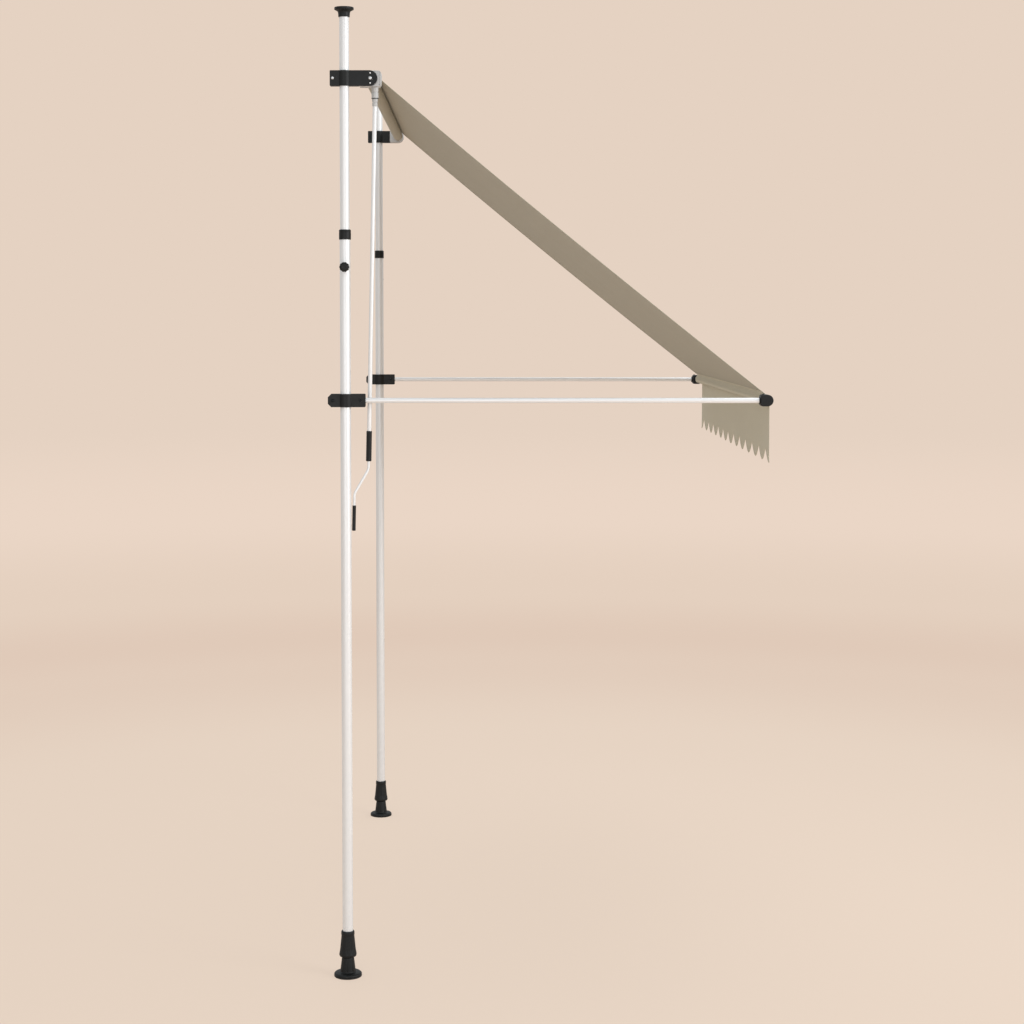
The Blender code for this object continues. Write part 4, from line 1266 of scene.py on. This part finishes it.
def canopy_height(x, v):
    """Height of the cloth above the straight line: sag, soft cross waves and curled side edges.

    h = -sag 4 v (1 - v) - ripple sin(pi v) (cos-waves in x) + curl at the two selvedges.
    """
    sizes = settings()
    half_width = canvas_edges()[0]
    u = x / half_width
    sag = -sizes.canvas_sag * 4 * v * (1 - v) * (1 - 0.25 * u**2)
    waves = np.cos(9.3 * u + 1.1 * v) + 0.6 * np.cos(17.0 * u - 2.3 * v + 0.7)
    waves = waves + 0.4 * np.cos(4.1 * u + 5.0 * v)
    ripple = sizes.canvas_ripple * np.sin(math.pi * v) * waves * 0.5
    pull = 0.0012 * np.sin(math.pi * v) * np.exp(-((1 - np.abs(u)) / 0.02))
    return sag + ripple - pull


def make_canopy():
    """Canopy: one sheet from roll to bar, wrapped a little on both, hemmed along its two sides."""
    half_width, roller, roll_radius, bar, hem_radius = canvas_edges()
    start, end, along, normal = canopy_line()
    length = float(np.linalg.norm(end - start))
    columns = np.concatenate(
        [
            np.linspace(-half_width, -half_width + 0.018, 5)[:-1],
            np.linspace(-half_width + 0.018, half_width - 0.018, 150),
            np.linspace(half_width - 0.018, half_width, 5)[1:],
        ]
    )
    wrap_roll, wrap_bar = math.radians(22), math.radians(26)
    rows = 150
    v = np.linspace(0, 1, rows)
    x, straight = np.meshgrid(columns, v)
    height = canopy_height(x, straight) + 0.0005
    flat = start[None, None] + straight[..., None] * (end - start) + height[..., None] * normal
    turn_roll = np.linspace(wrap_roll, 0, 9)[:-1]
    turn_bar = np.linspace(0, wrap_bar, 9)[1:]

    def wrapped(centre, radius, turns, sign):
        arm = np.cos(turns)[:, None] * normal + sign * np.sin(turns)[:, None] * along
        ring = centre + (radius + 0.0008) * arm
        return np.repeat(ring[:, None], len(columns), axis=1)

    side_view = np.concatenate(
        [
            wrapped(roller, roll_radius, turn_roll, -1),
            flat,
            wrapped(bar, hem_radius, turn_bar, 1),
        ]
    )
    points = np.concatenate([np.broadcast_to(columns, side_view.shape[:2])[..., None], side_view], -1)
    run = np.concatenate(
        [-turn_roll * roll_radius, v * length, length + turn_bar * hem_radius]
    )
    cloth = np.stack(np.broadcast_arrays(columns[None, :], run[:, None]), -1)
    mesh = surface("canopy_sheet", points, cloth=cloth)
    mesh.shade_smooth()
    piece = place("canopy_sheet", mesh, "canopy", "awning_canvas", ["canopy"])
    thicken(piece, 0.0009)
    apply_modifiers(piece)
    hems = [make_side_hem(f"canopy_{label}_hem", side) for label, side in SIDES.items()]
    hems.append(make_bar_pocket())
    rows_of_thread = []
    for label, side in SIDES.items():
        for i, inset in enumerate((0.0035, 0.0150)):
            edge = side * (half_width - inset)
            rows_of_thread.append(canopy_stitches(f"canopy_{label}_stitch_{i + 1}", edge))
    squashed = [piece, *hems, *rows_of_thread]
    for one in squashed:
        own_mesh(one)


def thicken(piece, thickness):
    """Give a sheet its thickness on both sides of its middle surface."""
    solid = piece.modifiers.new("cloth_thickness", "SOLIDIFY")
    solid.thickness = thickness
    solid.offset = 0.0
    return solid


def apply_modifiers(piece):
    """Write the modifiers' result into the piece's own mesh."""
    graph = bpy.context.evaluated_depsgraph_get()
    mesh = bpy.data.meshes.new_from_object(piece.evaluated_get(graph), depsgraph=graph)
    piece.modifiers.clear()
    piece.data = mesh


def canopy_point(x, v, lift):
    """World points on the canopy, lifted off its middle surface."""
    start, end, _, normal = canopy_line()
    x, v = np.broadcast_arrays(np.asarray(x, float), np.asarray(v, float))
    height = canopy_height(x, v) + 0.0005 + lift
    side_view = start + v[..., None] * (end - start) + height[..., None] * normal
    return np.concatenate([x[..., None], side_view], -1)


def make_side_hem(name, side):
    """Folded selvedge under the canopy's edge: a flat strip whose inner edge is rolled under."""
    half_width = canvas_edges()[0]
    width = 0.018
    s = np.linspace(0, 1, 10)
    x = side * (half_width - width * s)
    fold = 0.00045 + 0.0004 * np.sin(math.pi * s) ** 0.5
    v = np.linspace(0.006, 0.994, 150)
    points = canopy_point(x[None, :], v[:, None], -(fold[None, :] + 0.0004))
    run = v * np.linalg.norm(canopy_line()[1] - canopy_line()[0])
    cloth = np.stack(np.broadcast_arrays(x[None, :], run[:, None]), -1)
    mesh = surface(name, points, cloth=cloth)
    mesh.shade_smooth()
    piece = place(name, mesh, "canopy", "awning_canvas")
    thicken(piece, 0.0007)
    apply_modifiers(piece)
    return piece


def make_bar_pocket():
    """Pocket's lower flap: leaves the sleeve on its far tangent and is sewn to the canopy's underside.

    P(s, x) = mix of the sleeve's lower tangent point and the canopy line at the sewing distance, by s.
    """
    half_width, _, _, _, hem_radius = canvas_edges()
    _, end, along, normal = canopy_line()
    sewn, overlap = 0.017, 0.010
    radius = hem_radius + 0.0006
    knot = end - along * sewn
    spread = 2 * math.atan(radius / sewn)
    ray = along * math.cos(spread) - normal * math.sin(spread)
    touch = knot + ray * math.hypot(sewn, radius) * math.cos(spread / 2)
    s = np.linspace(0, 1, 24)
    flap = knot + (touch - knot) * s[:, None]
    hug = knot - along * overlap * np.linspace(1, 0, 6)[:-1, None]
    line = np.concatenate([hug, flap]) - normal * 0.0011
    columns = np.linspace(-half_width + 0.001, half_width - 0.001, 160)
    belly = 0.0006 * np.sin(columns * 24.0)[None, :] * np.sin(math.pi * np.linspace(0, 1, len(line)))[:, None]
    side_view = line[:, None] + belly[..., None] * normal
    points = np.concatenate([np.broadcast_to(columns, side_view.shape[:2])[..., None], side_view], -1)
    run = np.concatenate([[0], np.cumsum(np.linalg.norm(np.diff(line, axis=0), axis=1))])
    cloth = np.stack(np.broadcast_arrays(columns[None, :], run[:, None]), -1)
    mesh = surface("canopy_bar_pocket", points, cloth=cloth)
    mesh.shade_smooth()
    # Painted light: this flap wears the paler painted canvas, so it reads as a lighter band.
    piece = place("canopy_bar_pocket", mesh, "canopy", "paler_painted_canvas")
    thicken(piece, 0.0007)
    apply_modifiers(piece)
    return piece


def canopy_stitches(name, x):
    """Row of stitches along the canopy's side hem, on the upper face."""
    v = np.linspace(0.01, 0.99, 200)
    path = canopy_point(x, v, 0.0005)
    normal = canopy_line()[3]
    return stitches(name, path, (0.0, normal[0], normal[1]), "canopy")


def make_roll():
    """Canvas wound on the tube: P(s, x) on a spiral r = r0 + layer s / turn, one layer a turn."""
    half_width, roller, roll_radius, _, _ = canvas_edges()
    normal = canopy_line()[3]
    inner = half_size("roller_tube").z + 0.0006
    layer = 0.00085
    outer = roll_radius - 0.0004
    turns = (outer - inner) / layer
    lead = math.atan2(normal[1], normal[0]) + 0.10
    s = np.linspace(0, 1, int(turns * 56))
    angle = lead + math.tau * turns * (1 - s)
    radius = inner + layer * turns * s
    columns = np.linspace(-half_width, half_width, 40)
    stray = 0.0016 * np.sin(9.0 * s * turns) * 0.6
    near_end = (np.abs(columns) / half_width) ** 8 * np.sign(columns)
    x = columns[None, :] + stray[:, None] * near_end[None, :]
    x = np.clip(x, -half_width, half_width)
    swell = 1 + 0.006 * np.cos(3.0 * columns)[None, :] * s[:, None]
    reach = np.minimum(radius[:, None] * swell, outer + 0.0003)
    y = roller[0] + reach * np.cos(angle)[:, None]
    z = roller[1] + reach * np.sin(angle)[:, None]
    run = np.cumsum(np.concatenate([[0], np.hypot(np.diff(y[:, 0]), np.diff(z[:, 0]))]))
    cloth = np.stack(np.broadcast_arrays(columns[None, :], run[:, None]), -1)
    mesh = surface("rolled_canvas", np.stack([x, y, z], -1), cloth=cloth)
    mesh.shade_smooth()
    piece = place("rolled_canvas", mesh, "roller", "awning_canvas", ["canvas_roll"])
    thicken(piece, 0.0006)
    apply_modifiers(piece)


def make_hem():
    """Canvas sleeve sewn round the front bar, closed by a seam at the back with its stitches."""
    half_width, _, _, bar, hem_radius = canvas_edges()
    thick = 0.0009
    radius = hem_radius - thick / 2
    s = np.linspace(0, 1, 73)
    seam_angle = math.radians(-35)
    angle = seam_angle + math.tau * s
    pucker = 0.00022
    columns = np.linspace(-half_width, half_width, 190)
    seam_share = np.exp(-(np.minimum(s, 1 - s) / 0.06) ** 2)[:, None]
    reach = radius - 0.0001 - pucker * (0.5 + 0.5 * np.sin(columns * 310.0))[None, :] * seam_share
    tail = np.clip((s - 0.93) / 0.07, 0, 1)[:, None]
    reach = reach + 0.0010 * tail - 0.0007
    y = bar[0] + reach * np.cos(angle)[:, None]
    z = bar[1] + reach * np.sin(angle)[:, None]
    x = np.broadcast_to(columns, y.shape)
    run = s * math.tau * radius
    cloth = np.stack(np.broadcast_arrays(columns[None, :], run[:, None]), -1)
    mesh = surface("hem_sleeve", np.stack([x, y, z], -1), cloth=cloth)
    mesh.shade_smooth()
    # Painted light: the sleeve wears the paler painted canvas, so it reads as a lighter band along the bar.
    piece = place("hem_sleeve", mesh, "arms", "paler_painted_canvas", ["canvas_hem"])
    thicken(piece, thick)
    apply_modifiers(piece)
    path_x = np.linspace(-half_width + 0.004, half_width - 0.004, 50)
    out = np.array((0.0, math.cos(seam_angle - 0.16), math.sin(seam_angle - 0.16)))
    path = np.stack([path_x, np.full(50, bar[0]), np.full(50, bar[1])], 1) + out * (hem_radius - 0.0002)
    stitches("hem_stitches", path, out, "arms")


def scallop_line(x):
    """Depth of the valance's lower edge: drop - depth (1 - |cos(pi n x / width)|)."""
    half_width = canvas_edges()[0]
    sizes = settings()
    low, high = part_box("valance")
    wave = np.abs(np.cos(math.pi * sizes.scallops * (x + half_width) / (2 * half_width)))
    return (high.z - low.z) - sizes.scallop_depth * (1 - wave)


def valance_wave(x, depth):
    """Hang of the cloth: slow folds that grow downwards, to and fro."""
    low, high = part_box("valance")
    share = np.clip(depth / (high.z - low.z), 0, 1)
    return share**1.4 * (0.0009 * np.cos(5.0 * x + 0.6) + 0.0004 * np.cos(13.0 * x - 1.0))


def valance_columns():
    """Columns across the valance, with one on every notch and every tip."""
    half_width = canvas_edges()[0]
    return np.linspace(-half_width, half_width, settings().scallops * 40 + 1)


def make_valance():
    """Valance: a hanging strip, scalloped and bound along its lower edge, sewn to the hem above."""
    low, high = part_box("valance")
    face = (low.y + high.y) / 2
    x = valance_columns()
    bottom = scallop_line(x)
    t = np.linspace(0, 1, 36)
    depth = t[:, None] * bottom[None, :]
    spread = np.broadcast_to(x, depth.shape)
    y = face + valance_wave(spread, depth)
    points = np.stack([spread, y, high.z - depth], -1)
    cloth = np.stack([spread, depth], -1)
    mesh = surface("valance_strip", points, cloth=cloth)
    mesh.shade_smooth()
    # Painted light: the strip's colour is painted paler, standing for daylight passing through it.
    piece = place("valance_strip", mesh, "valance", "paler_painted_canvas", ["valance"])
    thicken(piece, 0.0008)
    apply_modifiers(piece)
    binding = make_binding(x, bottom, face, high.z)
    seams = [
        valance_stitches("valance_top_stitches", x, np.full(len(x), 0.008), face, high.z),
        valance_stitches("valance_edge_stitches", x, bottom - 0.0075, face, high.z),
    ]


def make_binding(x, bottom, face, top):
    """Folded tape along the scallops: a flat oval section carried along the lower edge."""
    turn = np.linspace(0, math.tau, 12, endpoint=False)
    centre = bottom - 0.0030
    wide, thick = 0.0030, 0.00095
    depth = centre[:, None] + wide * np.sin(turn)[None, :]
    spread = np.broadcast_to(x[:, None], depth.shape)
    y = face + valance_wave(spread, depth) + thick * np.cos(turn)[None, :]
    points = np.stack([spread, y, top - depth], -1)
    run = np.concatenate([[0], np.cumsum(np.hypot(np.diff(x), np.diff(bottom)))])
    cloth = np.stack(np.broadcast_arrays(run[:, None], (turn * wide / 2)[None, :]), -1)
    ends = [np.repeat(points[i : i + 1].mean(1, keepdims=True), len(turn), axis=1) for i in (0, -1)]
    flat_ends = [np.repeat(cloth[i : i + 1].mean(1, keepdims=True), len(turn), axis=1) for i in (0, -1)]
    points = np.concatenate([ends[0], points, ends[1]])
    cloth = np.concatenate([flat_ends[0], cloth, flat_ends[1]])
    mesh = closed_shape(surface("valance_binding", points, wrap_v=True, cloth=cloth), 70.0)
    # Painted light: the binding wears the same paler painted canvas.
    return place("valance_binding", mesh, "valance", "paler_painted_canvas")


def valance_stitches(name, x, depth, face, top):
    """Row of stitches on the valance's outer face at a given depth below its top."""
    y = face + valance_wave(x, depth) - 0.0006
    path = np.stack([x, y, top - depth], 1)[2:-2]
    return stitches(name, path, (0.0, -1.0, 0.0), "valance")


# ---------------------------------------------------------------- stage
def make_stage():
    """Plain floor that fades into an even backdrop, soft lamps and the camera."""
    make_floor()
    make_backdrop()
    make_lamps()
    make_camera()


def make_floor():
    """Round floor whose colour settles to the backdrop's with distance from the middle, passing through a darker
    ring of painted shade.
    """
    radius = np.concatenate([[0.0], np.geomspace(0.5, 60.0, 40)])
    turn = np.linspace(0, math.tau, 96, endpoint=False)
    x, y = radius[:, None] * np.cos(turn), radius[:, None] * np.sin(turn)
    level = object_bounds()[0].z - 0.0005
    mesh = surface("stage_floor", np.stack([x, y, np.full_like(x, level)], -1), wrap_v=True)
    floor = bpy.data.objects.new("stage_floor", mesh)
    bpy.context.scene.collection.objects.link(floor)
    material = bpy.data.materials.new("backdrop_paper")
    material.use_nodes = True
    tree = material.node_tree
    tree.nodes.clear()
    where = put(tree, "ShaderNodeTexCoord").outputs["Object"]
    distance = put(tree, "ShaderNodeVectorMath", {"operation": "LENGTH"}, {0: where})
    widest = 30.0
    share = put(tree, "ShaderNodeMapRange", {"From Max": widest}, {"Value": distance.outputs["Value"]})
    ramp = put(tree, "ShaderNodeValToRGB", None, {"Fac": share.outputs["Result"]})
    # Colour by distance in metres: a little lighter in the middle, darker in a ring from 4.6 to 7.6 m. The ring
    # is painted shade for the soft band where a floor bends up into a wall.
    rings = (
        (0.0, "ead7c6"),
        (2.6, "e7d4c3"),
        (4.6, "e2cdbc"),
        (5.6, "e0cab9"),
        (7.6, "e4d0bf"),
        (13.0, "ead6c6"),
    )
    ramp.color_ramp.interpolation = "EASE"
    for i, (metres, shade) in enumerate(rings):
        stop = ramp.color_ramp.elements[i] if i < 2 else ramp.color_ramp.elements.new(1.0)
        stop.position = metres / widest
        stop.color = tinted(shade, 1.0)
    last = ramp.color_ramp.elements.new(1.0)
    last.color = tinted(settings().backdrop_peach, 1.0)
    paper = put(tree, "ShaderNodeBsdfDiffuse", None, {"Color": ramp.outputs["Color"]})
    glow = put(tree, "ShaderNodeEmission", {"Strength": 1.0}, {"Color": ramp.outputs["Color"]})
    ray = put(tree, "ShaderNodeLightPath").outputs["Is Camera Ray"]
    even = put(
        tree,
        "ShaderNodeMapRange",
        {"interpolation_type": "SMOOTHSTEP", "From Max": 6.0, "To Min": 0.72, "To Max": 1.0},
        {"Value": distance.outputs["Value"]},
    )
    seen = put(tree, "ShaderNodeMath", {"operation": "MULTIPLY"}, {0: even.outputs["Result"], 1: ray})
    blend = put(
        tree, "ShaderNodeMixShader", None, {0: seen.outputs["Value"], 1: paper.outputs[0], 2: glow.outputs[0]}
    )
    put(tree, "ShaderNodeOutputMaterial", None, {"Surface": blend.outputs[0]})
    mesh.materials.append(material)
    floor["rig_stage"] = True


def make_backdrop():
    """World: the eye sees an even peach, while the light that falls on the piece is nearly white."""
    world = bpy.data.worlds.new("studio")
    bpy.context.scene.world = world
    world.use_nodes = True
    tree = world.node_tree
    tree.nodes.clear()
    peach = tinted(settings().backdrop_peach, 1.0)
    seen = put(tree, "ShaderNodeBackground", {"Color": peach, "Strength": 1.0})
    falling = put(tree, "ShaderNodeBackground", {"Color": (0.95, 0.98, 1.0, 1.0), "Strength": 0.68})
    ray = put(tree, "ShaderNodeLightPath")
    mix = put(
        tree,
        "ShaderNodeMixShader",
        None,
        {0: ray.outputs["Is Camera Ray"], 1: falling.outputs[0], 2: seen.outputs[0]},
    )
    put(tree, "ShaderNodeOutputWorld", None, {"Surface": mix.outputs[0]})


def make_lamps():
    """Three large soft lamps: key from the front and the eye's side, fill and a top light."""
    low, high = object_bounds()
    middle = (low + high) / 2
    lamps = (
        ("key_lamp", Vector((-4.6, -6.0, 3.4)), 270.0, 3.2),
        ("fill_lamp", Vector((-6.5, 1.2, 2.2)), 60.0, 3.0),
        ("top_lamp", Vector((1.0, -0.5, 6.5)), 120.0, 4.0),
    )
    for name, spot, power, size in lamps:
        light = bpy.data.lights.new(name, "AREA")
        light.energy = power
        light.size = size
        light.color = (0.96, 0.98, 1.0)
        lamp = bpy.data.objects.new(name, light)
        bpy.context.scene.collection.objects.link(lamp)
        lamp.location = spot
        lamp.rotation_euler = (middle - spot).to_track_quat("-Z", "Y").to_euler()


def make_camera():
    """Camera beside the winch mast, at eye height, looking along +X and slightly down."""
    low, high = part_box("left_lower_tube")
    mast = (low + high) / 2
    away, ahead, eye = 6.106, 0.418, 2.029
    data = bpy.data.cameras.new("camera")
    data.lens = 71.07
    data.shift_x = 0.0274
    data.shift_y = -0.070
    pitch = math.radians(3.55)
    camera = bpy.data.objects.new("camera", data)
    bpy.context.scene.collection.objects.link(camera)
    camera.location = (mast.x - away, mast.y - ahead, eye)
    camera.rotation_euler = (math.pi / 2 - pitch, 0, -math.pi / 2)
    bpy.context.scene.camera = camera
    bpy.context.scene.view_settings.view_transform = "Standard"


# ---------------------------------------------------------------- operators
class AWNING_OT_tubes(bpy.types.Operator):
    """Make the coated tubes"""

    bl_idname = "awning.tubes"
    bl_label = "Tubes"

    def execute(self, context):
        make_tubes()
        return {"FINISHED"}


class AWNING_OT_feet(bpy.types.Operator):
    """Make the feet with their jack screws and sleeves"""

    bl_idname = "awning.feet"
    bl_label = "Feet"

    def execute(self, context):
        make_feet()
        return {"FINISHED"}


class AWNING_OT_collars(bpy.types.Operator):
    """Make the telescope collars and lock knobs"""

    bl_idname = "awning.collars"
    bl_label = "Collars and Knobs"

    def execute(self, context):
        make_collars_and_knobs()
        return {"FINISHED"}


class AWNING_OT_pads(bpy.types.Operator):
    """Make the ceiling pads"""

    bl_idname = "awning.pads"
    bl_label = "Ceiling Pads"

    def execute(self, context):
        make_ceiling_pads()
        return {"FINISHED"}


class AWNING_OT_clamps(bpy.types.Operator):
    """Make the tube clamps with their bolts and screws"""

    bl_idname = "awning.clamps"
    bl_label = "Clamps"

    def execute(self, context):
        make_clamps()
        return {"FINISHED"}


class AWNING_OT_winch(bpy.types.Operator):
    """Make the winch, the idler bracket and the roller's plugs"""

    bl_idname = "awning.winch"
    bl_label = "Winch and Bracket"

    def execute(self, context):
        make_winch()
        return {"FINISHED"}


class AWNING_OT_crank(bpy.types.Operator):
    """Make the crank with its joint, rod and grips"""

    bl_idname = "awning.crank"
    bl_label = "Crank"

    def execute(self, context):
        make_crank()
        return {"FINISHED"}


class AWNING_OT_arm_ends(bpy.types.Operator):
    """Make the pivot eyes and the front corner mouldings"""

    bl_idname = "awning.arm_ends"
    bl_label = "Arm Ends"

    def execute(self, context):
        make_arm_ends()
        return {"FINISHED"}


class AWNING_OT_roll(bpy.types.Operator):
    """Make the canvas wound on the roller"""

    bl_idname = "awning.roll"
    bl_label = "Canvas Roll"

    def execute(self, context):
        make_roll()
        return {"FINISHED"}


class AWNING_OT_hem(bpy.types.Operator):
    """Make the canvas sleeve round the front bar"""

    bl_idname = "awning.hem"
    bl_label = "Hem Sleeve"

    def execute(self, context):
        make_hem()
        return {"FINISHED"}


class AWNING_OT_canopy(bpy.types.Operator):
    """Make the canopy sheet with its side hems"""

    bl_idname = "awning.canopy"
    bl_label = "Canopy"

    def execute(self, context):
        make_canopy()
        return {"FINISHED"}


class AWNING_OT_valance(bpy.types.Operator):
    """Make the scalloped valance"""

    bl_idname = "awning.valance"
    bl_label = "Valance"

    def execute(self, context):
        make_valance()
        return {"FINISHED"}


class AWNING_OT_stage(bpy.types.Operator):
    """Make the floor, backdrop, lamps and camera"""

    bl_idname = "awning.stage"
    bl_label = "Stage"

    def execute(self, context):
        make_stage()
        return {"FINISHED"}


OPERATORS = (
    AWNING_OT_tubes,
    AWNING_OT_feet,
    AWNING_OT_collars,
    AWNING_OT_pads,
    AWNING_OT_clamps,
    AWNING_OT_winch,
    AWNING_OT_crank,
    AWNING_OT_arm_ends,
    AWNING_OT_roll,
    AWNING_OT_hem,
    AWNING_OT_canopy,
    AWNING_OT_valance,
    AWNING_OT_stage,
)


class AWNING_PT_panel(bpy.types.Panel):
    """Lists the awning's settings and the operators that make its pieces"""

    bl_idname = "AWNING_PT_panel"
    bl_label = "Clamp Awning"
    bl_space_type = "VIEW_3D"
    bl_region_type = "UI"
    bl_category = "Awning"

    def draw(self, context):
        for name in AwningSizes.__annotations__:
            self.layout.prop(context.scene.awning_sizes, name)
        for operator in OPERATORS:
            self.layout.operator(operator.bl_idname)


CLASSES = (AwningSizes, *OPERATORS, AWNING_PT_panel)


def register():
    """Register the classes and attach the settings to scenes."""
    for one in CLASSES:
        bpy.utils.register_class(one)
    bpy.types.Scene.awning_sizes = PointerProperty(type=AwningSizes)


def unregister():
    """Undo register."""
    del bpy.types.Scene.awning_sizes
    for one in reversed(CLASSES):
        bpy.utils.unregister_class(one)


def main():
    """Make every piece in order."""
    register()
    for operator in OPERATORS:
        group, name = operator.bl_idname.split(".")
        getattr(getattr(bpy.ops, group), name)()


if __name__ == "__main__":
    main()
